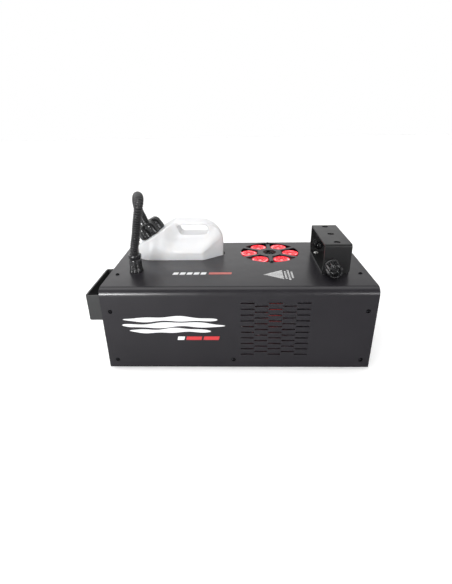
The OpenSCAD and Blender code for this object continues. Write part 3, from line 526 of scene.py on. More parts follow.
def glow(name, deep, bright, strength):
    """Red lens: the light is brightest in rings round each lens's own axis."""
    k = Mat(name, deep, 0.22, Coat_Weight=0.25, Coat_Roughness=0.08)
    radial = k.add("ShaderNodeUVMap", uv_map="radial")
    split = k.add("ShaderNodeSeparateXYZ")
    k.link(radial.outputs[0], split.inputs[0])
    wobble = k.math("MULTIPLY", k.math("SUBTRACT", k.noise(300, 3), 0.5), 0.16)
    r = k.math("ADD", split.outputs["X"], wobble)
    ring = k.math("MULTIPLY", k.ramp(r, 0.70, 0.78), k.ramp(r, 0.92, 0.84))
    core = k.ramp(r, 0.26, 0.1)
    patch = k.ramp(k.noise(110, 3), 0.42, 0.62)
    lit = k.math("MAXIMUM", k.math("MULTIPLY", ring, k.math("MULTIPLY", patch, 0.8)), k.math("MULTIPLY", core, 0.5))
    shade = k.mix(k.ramp(r, 0.3, 0.62), scaled(deep, 0.55), deep)
    k.colour(k.mix(lit, shade, bright))
    k.link(k.mix(lit, shade, bright), k.p.inputs["Emission Color"])
    k.link(k.math("MULTIPLY", k.ramp(r, 1.04, 0.9, 0.35, 1.0), strength), k.p.inputs["Emission Strength"])
    k.rough(k.noise(300, 3), 0.14, 0.34)
    k.bump(k.wave(90, 2.0), 0.0001, 0.4)
    return k.m


def lamp(name, colour, strength, dark):
    """A small light source with darker cells."""
    k = Mat(name, colour, 0.3)
    cell = k.ramp(k.noise(900, 2), 0.3, 0.6, 0.4, 1.0)
    k.colour(k.mix(cell, dark, colour))
    k.link(k.mix(cell, dark, colour), k.p.inputs["Emission Color"])
    k.link(k.math("MULTIPLY", cell, strength), k.p.inputs["Emission Strength"])
    k.rough(k.noise(500, 2), 0.2, 0.4)
    k.bump(k.noise(1200, 2), 0.00002, 0.5)
    return k.m


def ink(name, base):
    """Screen-printed ink with worn flecks."""
    k = Mat(name, base, 0.42)
    fleck = k.ramp(k.noise(1400, 3), 0.7, 0.78, 0, 0.35)
    k.colour(k.mix(fleck, base, scaled(base, 0.7)))
    k.rough(k.noise(300, 3), 0.36, 0.5)
    k.bump(k.noise(1600, 2), 0.00003, 0.5)
    return k.m


def clear_window():
    k = Mat("display_glass", (0.02, 0.03, 0.04), 0.08, Transmission_Weight=0.85, IOR=1.45)
    k.colour(k.mix(k.ramp(k.noise(40, 3), 0.3, 0.7), (0.25, 0.32, 0.4), (0.4, 0.48, 0.55)))
    k.rough(k.noise(200, 4), 0.05, 0.14)
    k.bump(k.noise(700, 2), 0.00002, 0.3)
    return k.m


def hose_plastic():
    k = Mat("hose_plastic", (0.75, 0.77, 0.76), 0.25, Subsurface_Weight=0.3, Subsurface_Scale=0.002)
    k.colour(k.mix(k.ramp(k.noise(60, 4), 0.3, 0.7), (0.68, 0.7, 0.68), (0.84, 0.86, 0.84)))
    k.rough(k.noise(260, 3), 0.18, 0.34)
    k.bump(k.noise(500, 2), 0.00005, 0.5)
    return k.m


def crinkled(name, base, rough, scale, depth):
    """Glossy moulded grip whose highlights break up along its fine ridges."""
    k = Mat(name, base, rough, Coat_Weight=0.4, Coat_Roughness=0.15)
    k.soft_edges(0.0006)
    k.colour(k.mix(k.ramp(k.noise(90, 5), 0.3, 0.7), scaled(base, 0.7), scaled(base, 1.5)))
    k.rough(k.noise(180, 4), rough - 0.1, rough + 0.12)
    k.bump(k.noise(scale, 4, None, 1.2), depth, 0.8)
    k.bump(k.noise(1800, 2), 0.00003, 0.5)
    return k.m


PAINT = (0.0172, 0.0158, 0.0190)
materials = {
    "lid_paint": powder_coat("body_paint", PAINT, 0.3),
    "frame_paint": powder_coat("frame_paint", (0.0085, 0.0085, 0.009), 0.32, 1300),
    "handle_paint": powder_coat("handle_paint", (0.030, 0.031, 0.031), 0.46, 1200, 0.00005),
    "inner_paint": powder_coat("inner_paint", (0.02, 0.02, 0.02), 0.6, 900, 0.00006),
    "black_zinc": plated("black_zinc", (0.018, 0.018, 0.02), 0.3),
    "zinc_steel": plated("zinc_steel", (0.62, 0.62, 0.6), 0.34),
    "bare_steel": plated("bare_steel", (0.56, 0.55, 0.53), 0.25, (1, 1, 14)),
    "aluminium": plated("aluminium", (0.72, 0.73, 0.74), 0.38, (12, 1, 1), 0.00005),
    "brass": plated("brass", (0.78, 0.56, 0.22), 0.28, (1, 1, 10)),
    "copper": plated("copper", (0.8, 0.4, 0.25), 0.3),
    # Near black: painted shade for the dark hole the nozzle sits in
    "nozzle_shade_black": moulded("nozzle_shade_black", (0.004, 0.004, 0.004), 0.65, 500, 0.00005),
    "rubber": moulded("rubber", (0.018, 0.018, 0.018), 0.7, 500, 0.00008),
    "black_plastic": moulded("black_plastic", (0.022, 0.022, 0.023), 0.42),
    "hose_black": moulded("hose_black", (0.016, 0.016, 0.017), 0.36, 900, 0.00005, 0.2),
    "gloss_black": moulded("gloss_black", (0.014, 0.014, 0.015), 0.22, 500, 0.00003, 0.4),
    "grip": crinkled("grip", (0.010, 0.010, 0.011), 0.24, 150, 0.0004),
    "gland": crinkled("gland", (0.012, 0.012, 0.013), 0.2, 120, 0.0004),
    "red_plastic": moulded("red_plastic", (0.55, 0.02, 0.015), 0.28, 500, 0.00003, 0.3),
    "ceramic": moulded("ceramic", (0.62, 0.5, 0.36), 0.55, 600, 0.00008),
    "white_rubber": moulded("white_rubber", (0.7, 0.7, 0.68), 0.6, 600, 0.00006),
    "cast": plated("cast_aluminium", (0.55, 0.55, 0.54), 0.5, None, 0.0002),
    "bottle": bottle_plastic(),
    "hose": hose_plastic(),
    "board": circuit_board(),
    "parts": palette("parts_mix", [(0.75, 0.3, 0.03), (0.02, 0.09, 0.5), (0.5, 0.5, 0.5), (0.02, 0.02, 0.03),
                                   (0.03, 0.32, 0.08), (0.3, 0.3, 0.31)], 0.4, 500),
    "wire": palette("wire", [(0.2, 0.07, 0.02), (0.7, 0.7, 0.68), (0.6, 0.02, 0.02), (0.12, 0.12, 0.13)], 0.4, 700),
    "wool": wool(),
    "window": clear_window(),
    "lens": glow("lens", (0.66, 0.003, 0.014), (1.0, 0.42, 0.46), 0.95),
    "emitter": lamp("emitter", (1.0, 0.05, 0.03), 4.0, (0.3, 0.0, 0.0)),
    "segments": lamp("segments", (0.15, 0.75, 1.0), 1.6, (0.02, 0.1, 0.14)),
    "white_ink": ink("white_ink", (0.86, 0.86, 0.87)),
    "red_ink": ink("red_ink", (0.62, 0.03, 0.035)),
    "faded_red": ink("faded_red_ink", (0.52, 0.13, 0.11)),
    "grey_ink": ink("grey_ink", (0.6, 0.6, 0.6)),
}

CAD_FINISH = {
    "lid_paint": "cover right_end_panel left_end_panel base_plate",
    "frame_paint": "yoke yoke_base",
    "handle_paint": "carry_handle",
    "inner_paint": "bottle_pocket",
    "black_zinc": "cover_screws handle_bolts pump_body pivot_nuts led_spacers",
    "zinc_steel": "underside_screws panel_screws yoke_base_bolts heater_shroud pump_bracket "
                  "board_standoffs",
    "bare_steel": "pump_plunger heater_cartridges intake_filter",
    "aluminium": "led_heatsink",
    "cast": "heater_block",
    "copper": "delivery_pipe",
    # The nozzle is near black as painted shade for the hole it sits in
    "nozzle_shade_black": "nozzle",
    "rubber": "rubber_feet friction_washers button_menu button_down button_up button_enter",
    "black_plastic": "gland_locknut lens_holders",
    "gloss_black": "power_inlet fuse_drawer switch_housing dmx_sockets",
    "red_plastic": "power_rocker",
    "ceramic": "thermostat",
    "white_rubber": "cap_seal",
    "hose": "dip_tube",
    "board": "led_board power_board control_board",
    "parts": "power_parts",
    "wire": "wiring_harness",
    "wool": "heater_insulation",
    "window": "display_window",
    "emitter": "led_emitters",
}


SMOOTH_BELOW = 32


def smooth_group():
    """Merges the frame mesh's split corners and smooths every edge flatter than SMOOTH_BELOW degrees."""
    g = bpy.data.node_groups.new("smooth_by_angle", "GeometryNodeTree")
    g.interface.new_socket("Geometry", in_out="INPUT", socket_type="NodeSocketGeometry")
    g.interface.new_socket("Geometry", in_out="OUTPUT", socket_type="NodeSocketGeometry")
    start, end = g.nodes.new("NodeGroupInput"), g.nodes.new("NodeGroupOutput")
    drop = g.nodes.new("GeometryNodeRemoveAttribute")
    drop.inputs["Name"].default_value = "custom_normal"
    weld = g.nodes.new("GeometryNodeMergeByDistance")
    weld.inputs["Distance"].default_value = 0.000002
    faces = g.nodes.new("GeometryNodeSetShadeSmooth")
    edges = g.nodes.new("GeometryNodeSetShadeSmooth")
    edges.domain = "EDGE"
    edges.inputs["Shade Smooth"].default_value = False
    angle = g.nodes.new("GeometryNodeInputMeshEdgeAngle")
    wide = g.nodes.new("FunctionNodeCompare")
    wide.inputs[1].default_value = math.radians(SMOOTH_BELOW)
    g.links.new(angle.outputs[0], wide.inputs[0])
    g.links.new(wide.outputs[0], edges.inputs["Selection"])
    chain = [start, drop, weld, faces, edges, end]
    for a, b in zip(chain, chain[1:]):
        g.links.new(a.outputs[0], b.inputs[0])
    return g


smooth_by_angle = smooth_group()
for finish, names in CAD_FINISH.items():
    for name in names.split():
        ob = nodes[name]
        ob.data.materials.clear()
        ob.data.materials.append(materials[finish])
        ob.modifiers.new("smooth", "NODES").node_group = smooth_by_angle


# ---------- bottle ----------

# The shoulder slopes from LEFT_UP above the lid to the peak, UP above it, and carries the neck square to itself
bottle_low, bottle_mid, bottle_high = box_mm("fluid_bottle")
BOTTLE_Y = bottle_mid[1]
BOTTLE_T = bottle_high[1] - bottle_low[1]
BOTTLE_DOWN = DECK - bottle_low[2]
# The neck stands proud of the left side, so that side is found from the bottle's own length
BOTTLE_L = 149
BX = bottle_high[0] - BOTTLE_L
UP = 64
LEFT_UP, PEAK_X = 18.5, 71
TILT = math.atan2(UP - LEFT_UP, PEAK_X)
NECK_X = 28.4
NECK_UP = LEFT_UP + NECK_X * math.tan(TILT)
VOXEL = 0.0014
PULL, PUSH = 0.5, -0.52


def neck_matrix():
    """From the neck's own axis, with its foot on the shoulder, to the frame."""
    return Matrix.Translation(at(BX + NECK_X, BOTTLE_Y, DECK + NECK_UP)) @ Matrix.Rotation(-TILT, 4, "Y")


def neck_point(w):
    """The point of the neck's axis this far above the shoulder."""
    return Vector((BX + NECK_X - w * math.sin(TILT), BOTTLE_Y, DECK + NECK_UP + w * math.cos(TILT)))


def temp_object(name, verts, faces):
    mesh = mesh_of(name, verts, faces)
    face_outward(mesh)
    return linked(name, mesh)


def boolean(ob, other, operation):
    m = ob.modifiers.new("boolean", "BOOLEAN")
    m.operation, m.object, m.solver = operation, other, "EXACT"


def baked(ob):
    """The mesh with the object's modifiers applied; the object loses them."""
    bpy.context.view_layer.update()
    mesh = bpy.data.meshes.new_from_object(ob.evaluated_get(bpy.context.evaluated_depsgraph_get()))
    for m in list(ob.modifiers):
        ob.modifiers.remove(m)
    return mesh


def smoothstep(x, low, high):
    t = np.clip((x - low) / (high - low), 0, 1)
    return t * t * (3 - 2 * t)


def relax(co, edges, rounds):
    """Smooths without shrinking: a pull to the neighbours' middle, then a slightly larger push back."""
    n = len(co)
    count = np.maximum(np.bincount(edges.ravel(), minlength=n), 1)[:, None]
    for _ in range(rounds):
        for factor in (PULL, PUSH):
            total = np.stack([np.bincount(edges.ravel(), co[edges[:, ::-1].ravel(), k], n) for k in range(3)], 1)
            co = co + (total / count - co) * factor
    return co


def build_bottle():
    """The bottle's outline met by its plan, less the hand hole, relaxed, pinched in and given its neck."""
    side = fillet([(0, -BOTTLE_DOWN), (BOTTLE_L, -BOTTLE_DOWN), (BOTTLE_L, UP - 6), (PEAK_X - 3, UP - 2.2),
                   (0, LEFT_UP)], [9, 9, 38, 8, 12], 12)
    t = BOTTLE_T / 2
    taper_x, nose_y = BOTTLE_L - 33, 7
    plan = fillet([(0, -t), (taper_x, -t), (BOTTLE_L, -nose_y), (BOTTLE_L, nose_y), (taper_x, t), (0, t)],
                  [30, 9, 6, 6, 9, 30])
    hole = fillet([(77.5, UP - 25.5), (124, UP - 25.5), (123, UP - 9.5), (69.5, UP - 9)], [7, 6, 7, 3])
    block = temp_object("bottle_block", *prism(side, -t, t, lambda a, b, h: at(BX + a, BOTTLE_Y + h, DECK + b)))
    cut = temp_object("bottle_plan", *prism(plan, -BOTTLE_DOWN - 5, UP + 5,
                                            lambda a, b, h: at(BX + a, BOTTLE_Y + b, DECK + h)))
    grip = temp_object("hand_hole", *prism(hole, -90, 90, lambda a, b, h: at(BX + a, BOTTLE_Y + h, DECK + b)))
    boolean(block, cut, "INTERSECT")
    boolean(block, grip, "DIFFERENCE")
    remesh = block.modifiers.new("remesh", "REMESH")
    remesh.mode, remesh.voxel_size = "VOXEL", VOXEL
    mesh = baked(block)
    co = np.array([v.co for v in mesh.vertices])
    edges = np.array([e.vertices[:] for e in mesh.edges])
    co = relax(co, edges, 20)
    x = (co[:, 0] - ORIGIN.x) / MM - BX
    up = (co[:, 2] - ORIGIN.z) / MM - DECK
    # The sides pinch in: gently under the sloped shoulder, deeply above the ledge of the grip
    top = LEFT_UP + np.clip(x, 0, PEAK_X) * math.tan(TILT)
    left = 1 - 0.16 * smoothstep(up, np.minimum(top - 26, 8), top)
    ledge = 13 + 19 * smoothstep(x, 110, 148)
    right = 1 - 0.52 * smoothstep(up, ledge, ledge + 24)
    share = smoothstep(x, 48, 74)
    k = left * (1 - share) + right * share
    co[:, 1] = BOTTLE_Y * MM + (co[:, 1] - BOTTLE_Y * MM) * k
    co = relax(co, edges, 8)
    # Moulded marks: a bead above the ledge, and the mould's parting line round the outline
    y = co[:, 1] / MM - BOTTLE_Y
    bead = np.exp(-(((up - ledge + 1.5) / 1.6) ** 2)) * smoothstep(x, 64, 76) * (np.abs(y) > 12)
    co[:, 1] += np.sign(y) * bead * 0.7 * MM
    centre = np.array(at(BX + 80, BOTTLE_Y, DECK + 10))
    line = np.exp(-((y / 0.9) ** 2)) * (up > -5)
    out = co - centre
    out[:, 1] = 0
    out /= np.linalg.norm(out, axis=1)[:, None] + 1e-9
    grip_zone = (x > 66) & (x < 130) & (up > 33) & (up < 58)
    co += out * (line * ~grip_zone * 0.35 * MM)[:, None]
    co[:, 0] = np.minimum(co[:, 0], at(*bottle_high).x)
    mesh.vertices.foreach_set("co", co.astype(np.float32).ravel())
    block.data = mesh
    collar = [(0, -8, 0), (23.2, -8, 0), (23.2, -0.4, 0), (21.4, 0.35, 0), (16.6, 0.35, 0), (16.6, 16.0, 0),
              (13.6, 16.0, 0), (13.6, -2, 0), (0, -2, 0)]
    verts, faces = revolve(rounded(collar, 0.8, 3), 72)
    neck = temp_object("neck", moved(verts, neck_matrix()), faces)
    boolean(block, neck, "UNION")
    final = baked(block)
    for ob in (cut, grip, neck, block):
        bpy.data.objects.remove(ob)
    return final


place("bottle_shell", build_bottle(), "bottle", materials["bottle"], ["fluid_bottle"], 180)

# ---------- cap and its gland ----------

CAP_H = 20
cap_lobes = lobes(6, 9.4, 15.0, 24.4, 18.0, 0.0, 14)
cap_profile = rounded([
    (17.1, 0.6, 0), (18.2, 0.6, 0), (23.4, 0.6, 0.95), (24.4, 2.4, 1), (24.4, 11.0, 1), (24.1, 17.0, 1),
    (22.6, 20.4, 0.9), (20.6, 22.6, 0.5), (18.0, 23.4, 0.0), (15.4, 22.9, 0), (13.6, 21.4, 0), (12.9, 19.9, 0),
    (7.1, 19.9, 0), (7.1, 16.8, 0), (17.1, 16.8, 0)], 0.9, 3)
v, f = revolve(cap_profile, 240, cap_lobes, ring=True)
new_piece("screw_cap", moved(v, neck_matrix()), f, "cap", materials["grip"], ["bottle_cap"], 50)

gland_ribs = lobes(8, 2.0, 7.6, 9.4, 8.7, 0.0, 20)
v, f = revolve(rounded([(r, CAP_H + z, lobing) for r, z, lobing in (
    (3.3, -7.0, 0), (12.0, -7.0, 0), (12.0, -5.1, 0), (7.0, -5.1, 0), (7.0, 0.15, 0), (8.9, 0.15, 0),
    (9.4, 0.6, 1), (9.4, 1.9, 1), (8.8, 2.6, 0.4), (7.4, 2.8, 0), (6.68, 2.4, 0),
    (6.68, -3.0, 0), (3.3, -3.0, 0))], 0.4, 3), 128, gland_ribs, ring=True)
new_piece("cap_gland_nut", moved(v, neck_matrix()), f, "bottle", materials["gloss_black"],
          ["cap_gland"], 50)

# ---------- gland on the lid ----------

_, (GX, GY, _), (_, _, gland_top) = box_mm("base_gland")
GH = gland_top - DECK
fingers = lobes(7, 4.1, 6.9, 11.0, 8.3, math.radians(14), 16)
v, f = revolve(rounded([
    (4.0, -12, 0), (8.0, -12, 0), (8.0, 0.05, 0), (8.6, 0.05, 0), (11.3, 0.05, 1.0), (11.0, 2.4, 1.0),
    (10.1, 6.5, 0.95), (9.9, 12.0, 0.9), (9.9, GH - 9.5, 0.85), (9.4, GH - 8.0, 0.3), (8.8, GH - 7.4, 0.0),
    (9.0, GH - 6.6, 0), (10.0, GH - 6.0, 0), (10.2, GH - 1.4, 0), (9.6, GH - 0.3, 0), (8.4, GH, 0),
    (7.2, GH - 0.2, 0), (6.78, GH - 1.2, 0), (6.78, GH - 12, 0), (4.0, GH - 12, 0)], 0.6, 3), 168, fingers, ring=True)
new_piece("lid_gland", moved(v, Matrix.Translation(at(GX, GY, DECK))), f, "housing", materials["gland"],
          ["base_gland"], 50)

# ---------- conduit and hose ----------

conduit_path = catmull([
    (GX, GY, DECK + GH - 10), (GX, GY, DECK + GH - 1), (GX + 0.6, GY, DECK + GH + 9), (-155, GY, DECK + 57),
    (-152, GY + 0.5, DECK + 74), (-147.3, GY + 2, DECK + 97), (-146.5, GY + 8, DECK + 107.5),
    (-148.5, GY + 18, DECK + 112), (-153.5, GY + 32, DECK + 111.3), (-158.5, GY + 45, DECK + 107),
    (-163.3, GY + 59, DECK + 98.5), (-166.2, GY + 71, DECK + 88.3), (-166.6, GY + 80, DECK + 78),
    (-162.6, BOTTLE_Y, DECK + 67.2), neck_point(CAP_H + 5), neck_point(CAP_H - 1)], 24)
RIB_PITCH, RIB_STEPS = 3.5, 8
centre_line = resample(conduit_path, RIB_PITCH / RIB_STEPS)


def rib(i):
    """The radius at a step: ribs are deeper along the front leg and shallower towards the cap."""
    share = i / (len(centre_line) - 1)
    free = 0.45 * smoothstep(share, 0.1, 0.14) * smoothstep(share, 0.92, 0.88)
    depth = 1.75 - 1.3 * smoothstep(share, 0.36, 0.5)
    return 6.5 + free - depth * (1 - abs(math.sin(math.pi * i / RIB_STEPS)) ** 1.1)


to_frame = Matrix.Translation(ORIGIN)
v, f = sweep(centre_line, rib, lambda i: 4.6, 32)
conduit = new_piece("ribbed_conduit", moved(v, to_frame), f, None, materials["hose_black"],
                    ["conduit"], 70)
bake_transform(conduit)

# The hose runs from the pump's top, through the lid's gland and inside the conduit, into the cap
PX, PY, _ = box_mm("pump_plunger")[1]
PZ = box_mm("pump_body")[2][2]
hose_path = catmull([
    (PX, PY, PZ - 7), (PX, PY, PZ + 2), (PX, PY, PZ + 7), (PX - 14, PY, DECK - 28), (GX + 50, PY, DECK - 31),
    (GX + 7, GY - 3, DECK - 27), (GX, GY, DECK - 14), (GX, GY, DECK + 16)], 10)
hose_path += centre_line[::6][1:-1] + [neck_point(CAP_H - 2.6)]
v, f = sweep(resample(hose_path, 2.0), lambda i: 2.6, lambda i: 1.8, 20)
hose = new_piece("clear_hose", moved(v, to_frame), f, None, materials["hose"], ["suction_hose"], 70)
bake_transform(hose)

# ---------- clamping knobs ----------

yoke_front, yoke_back = (corner[1] for corner in box_mm("yoke")[::2])
knob_low, knob_mid, knob_high = box_mm("front_knob")
KNOB_R = (knob_high[2] - knob_low[2]) / 2
KNOB_L = yoke_front - knob_low[1]
STUD_L = knob_high[1] - yoke_front


def knob(r, l):
    """Flanged clamping knob with eight grip lobes, a deep hollow front and its stud."""
    cut = lobes(8, 2.9, r - 3.4, r - 0.5, r - 3.3, math.radians(22.5), 16)
    return revolve(rounded([
        (0, -STUD_L, 0), (3.2, -STUD_L, 0), (4.0, -STUD_L + 1, 0), (4.0, 0.12, 0), (r - 0.8, 0.12, 0),
        (r, 1.0, 0), (r, 3.2, 0), (r - 1.0, 4.4, 0), (r - 1.2, 5.2, 0.6), (r - 0.5, 7.0, 1),
        (r - 0.5, l - 2.2, 1), (r - 1.4, l - 0.5, 0.9), (r - 3.2, l, 0.35),
        (r - 4.2, l - 0.6, 0), (r - 4.7, l - 3.0, 0), (r - 5.0, l - 11.0, 0),
        (4.2, l - 11.6, 0), (3.8, l - 10.2, 0), (2.4, l - 9.8, 0), (0, l - 9.8, 0)], 0.6, 3), 160, cut)


for name, node, leg_y, turn, r, l in (
        ("front_clamp_knob", "front_knob", yoke_front, 90, KNOB_R - 0.2, KNOB_L + 5),
        ("rear_clamp_knob", "rear_knob", yoke_back, -90, KNOB_R - 1.8, KNOB_L)):
    v, f = knob(r, l)
    on_leg = Matrix.Translation(at(knob_mid[0], leg_y, knob_mid[2])) @ Matrix.Rotation(math.radians(turn), 4, "X")
    new_piece(name, moved(v, on_leg), f, node + "_body", materials["grip"], [node], 45)

# ---------- pump spring, coiled round the plunger's axis ---------

spring_low, _, spring_high = box_mm("pump_spring")
WIRE = 0.6
coil_r = (spring_high[0] - spring_low[0]) / 2 - WIRE
coil_z = spring_low[2] + WIRE
coil_l = spring_high[2] - spring_low[2] - 2 * WIRE
turns, per_turn = 6, 24
coil = []
for i in range(turns * per_turn + 1):
    w = 2 * math.pi * i / per_turn
    rise = coil_l * i / turns / per_turn
    coil.append(Vector((PX + coil_r * math.cos(w), PY + coil_r * math.sin(w), coil_z + rise)))
v, f = sweep(coil, lambda i: WIRE, lambda i: WIRE / 3, 12)
spring = new_piece("plunger_return_spring", moved(v, to_frame), f, None, materials["bare_steel"],
                   ["pump_spring"], 60)
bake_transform(spring)

# ---------- lenses ----------

lens_low, (RING_X, RING_Y, _), lens_high = box_mm("led_lenses")
LENS_R = 12.5
LENS_CIRCLE = (lens_high[0] - lens_low[0]) / 2 - LENS_R
LENS_H = lens_high[2] - lens_low[2]
SHOWN_R = 14.2
RIM = LENS_H + 2.3
lens_profile = rounded([
    (0, 3, 0), (3, 3, 0), (3, 0, 0), (6, 0, 0), (11.9, LENS_H - 2.2, 0), (LENS_R, LENS_H - 1, 0),
    (LENS_R, LENS_H + 0.1, 0), (SHOWN_R, LENS_H + 0.2, 0), (SHOWN_R, RIM, 0), (SHOWN_R - 0.8, RIM, 0),
    (SHOWN_R - 1.3, RIM - 0.7, 0), (11.0, RIM - 0.3, 0), (10.4, RIM - 0.9, 0), (7.8, RIM - 0.5, 0),
    (7.1, RIM - 1.1, 0), (5.4, RIM - 1.0, 0), (4.4, RIM - 2.0, 0), (0, RIM - 1.5, 0)], 0.35, 3)
centres = [at(RING_X + LENS_CIRCLE * math.cos(w), RING_Y + LENS_CIRCLE * math.sin(w), lens_low[2])
           for w in (math.radians(60 * i) for i in range(6))]
v, f = revolve(lens_profile, 72)
v, f = merge([(moved(v, Matrix.Translation(centre)), f) for centre in centres])
lenses = new_piece("ring_lenses", v, f, "housing", materials["lens"], ["led_lenses"], 50)
# The lens material reads the distance from each lens's own axis here, as a share of its radius
uv = lenses.data.uv_layers.new(name="radial")
flat = np.array([v.co[:2] for v in lenses.data.vertices])
axes = np.array([centre[:2] for centre in centres])
near = np.sqrt(((flat[:, None] - axes[None]) ** 2).sum(2)).min(1) / (SHOWN_R * MM)
index = np.array([c.vertex_index for c in lenses.data.loops])
uv.data.foreach_set("uv", np.stack([near[index], near[index] * 0], 1).astype(np.float32).ravel())

# ---------- inlet blades and display ----------


def blade(x, y, z, w, h, l):
    """A flat contact blade along X with a tapered tip."""
    verts, faces = [], []
    for dx, s in ((0, 1), (l - 1.5, 1), (l - 0.4, 0.8), (l, 0.45)):
        verts += [at(x + dx, y + a * w / 2 * s, z + b * h / 2 * s) for a, b in ((-1, -1), (1, -1), (1, 1), (-1, 1))]
    for i in range(3):
        faces += [[4 * i + j, 4 * i + (j + 1) % 4, 4 * i + 4 + (j + 1) % 4, 4 * i + 4 + j] for j in range(4)]
    return verts, faces + [[3, 2, 1, 0], [12, 13, 14, 15]]


def face_plane(x):
    """Maps (a, b, height) to a plane that faces right, at this x."""
    return lambda a, b, h: at(x + h, a, b)


PANEL_X = (cover_high.x - ORIGIN.x) / MM
_, inlet_y, inlet_z = box_mm("power_inlet")[1]
v, f = merge([blade(PANEL_X - 17, inlet_y + y, inlet_z + 7 + z, 2, 4, 13.5)
              for y, z in ((-7, -2), (0, 2.4), (7, -2))])
new_piece("inlet_contact_blades", v, f, "housing", materials["zinc_steel"])

window_low, (_, window_y, window_z), _ = box_mm("display_window")
foot = window_z - 9
bars = []
for i, tall in enumerate((5, 8, 11, 14, 17, 13, 9, 6)):
    a = window_y - 20 + i * 5.2
    outline = [(a, foot), (a + 3.6, foot), (a + 3.6, foot + tall), (a, foot + tall)]
    bars.append(prism(outline, -0.2, 0.25, face_plane(window_low[0] - 3)))
v, f = merge(bars)
new_piece("display_level_bars", v, f, "housing", materials["segments"])

# ---------- printed graphics: plain mist curves and bars ----------


def on_front(a, b, h):
    return at(a, FRONT - h, b)


def on_lid(a, b, h):
    return at(a, b, DECK + h)


PRINT_DEPTH = (-0.06, 0.07)
FRONT_BARS = (49, 55, 1.5)


def ribbon(line, widths, to_space):
    """A flat closed strip of varying width along a line of (a, b) points."""
    n = len(line)
    verts, faces = [], []
    for h in PRINT_DEPTH:
        for i, (a, b) in enumerate(line):
            p, q = line[max(i - 1, 0)], line[min(i + 1, n - 1)]
            d = Vector((q[0] - p[0], q[1] - p[1])).normalized() * widths[i] / 2
            verts += [to_space(a - d.y, b + d.x, h), to_space(a + d.y, b - d.x, h)]
    m = 2 * n
    for i in range(n - 1):
        faces += [[2 * i, 2 * i + 1, 2 * i + 3, 2 * i + 2], [m + 2 * i + 1, m + 2 * i, m + 2 * i + 2, m + 2 * i + 3],
                  [2 * i, 2 * i + 2, m + 2 * i + 2, m + 2 * i], [2 * i + 3, 2 * i + 1, m + 2 * i + 1, m + 2 * i + 3]]
    faces += [[1, 0, m, m + 1], [m - 2, m - 1, 2 * m - 1, 2 * m - 2]]
    return verts, faces


def bar(a0, a1, b0, b1, lean, to_space):
    """A printed bar whose far edge is shifted by lean."""
    return prism([(a0, b0), (a1, b0), (a1 + lean, b1), (a0 + lean, b1)], *PRINT_DEPTH, to_space)


mist = []
MIST_STEPS = 80
for start, end, level, wave, wide in (
        (-170, -30, 84.4, 1.0, 9.2), (-172, -19, 74.6, 1.3, 9.8), (-162, -40, 65.0, 1.0, 8.4)):
    line, widths = [], []
    for i in range(MIST_STEPS + 1):
        share = i / MIST_STEPS
        swing = math.sin(2 * math.pi * (1.3 * share + 0.1 + level / 200))
        line.append((start + (end - start) * share, level + wave * swing))
        swell = 0.78 + 0.22 * math.sin(2 * math.pi * (2.6 * share + level / 23))
        widths.append(0.25 + wide * math.sin(math.pi * share) ** 0.4 * swell)
    mist.append(ribbon(line, widths, on_front))
mist.append(bar(-91, -81, *FRONT_BARS, on_front))
v, f = merge(mist)
new_piece("front_mist_print", v, f, "housing", materials["white_ink"])
v, f = merge([bar(a, b, *FRONT_BARS, on_front) for a, b in ((-78, -55), (-52, -29))])
new_piece("front_red_print", v, f, "housing", materials["red_ink"])
v, f = merge([bar(-101 + i * 10.8, -93 + i * 10.8, -57, -48, 1.5, on_lid) for i in range(5)])
new_piece("lid_white_print", v, f, "housing", materials["white_ink"])
v, f = bar(-45, -10, -56.5, -48.5, 1.0, on_lid)
new_piece("lid_red_print", v, f, "housing", materials["faded_red"])

fan = []
for i in range(6):
    low, high = -76 + i * 6.1, -76 + i * 6.1 + 4.8
    apex = -58.6 + i * 0.25
    fan.append(prism([(38 + abs(i - 2.5) * 1.2, apex), (69, low), (69, high)], *PRINT_DEPTH, on_lid))
for column, count in enumerate((7, 9, 6)):
    for i in range(count):
        low = -59 - count * 2.2 + i * 4.4
        fan.append(bar(71.5 + column * 5, 74.3 + column * 5, low, low + 3.2, 0, on_lid))
v, f = merge(fan)
new_piece("lid_fan_print", v, f, "housing", materials["grey_ink"])

# ---------- studio ----------

FLOOR = 6
floor_mesh = mesh_of("studio_floor", [(-FLOOR, -FLOOR, 0), (FLOOR, -FLOOR, 0), (FLOOR, FLOOR, 0), (-FLOOR, FLOOR, 0)],
                     [[0, 1, 2, 3]])
floor = linked("studio_floor", floor_mesh)
# Paper that looks white, and darker towards the right in the object's reflections: a painted falloff of the light
paper = Mat("studio_paper", (0.93, 0.93, 0.93), 0.9)
glossy = paper.add("ShaderNodeLightPath").outputs["Is Glossy Ray"]
pale = paper.mix(paper.ramp(paper.noise(3, 3), 0.3, 0.7), (0.92, 0.92, 0.92), (0.94, 0.94, 0.94))
across = paper.add("ShaderNodeSeparateXYZ")
paper.link(paper.coord, across.inputs[0])
grey = paper.mix(paper.ramp(across.outputs["X"], -0.25, 0.3), (0.46, 0.46, 0.475), (0.19, 0.185, 0.2))
paper.colour(paper.mix(glossy, pale, grey))
paper.p.inputs["Emission Color"].default_value = (1, 1, 1, 1)
paper.link(paper.math("MULTIPLY", paper.math("SUBTRACT", 1, glossy), 0.3), paper.p.inputs["Emission Strength"])
floor_mesh.materials.append(paper.m)

world = bpy.data.worlds.new("studio")
bpy.context.scene.world = world
world.use_nodes = True
world.node_tree.nodes.clear()
air = Tree(world.node_tree)

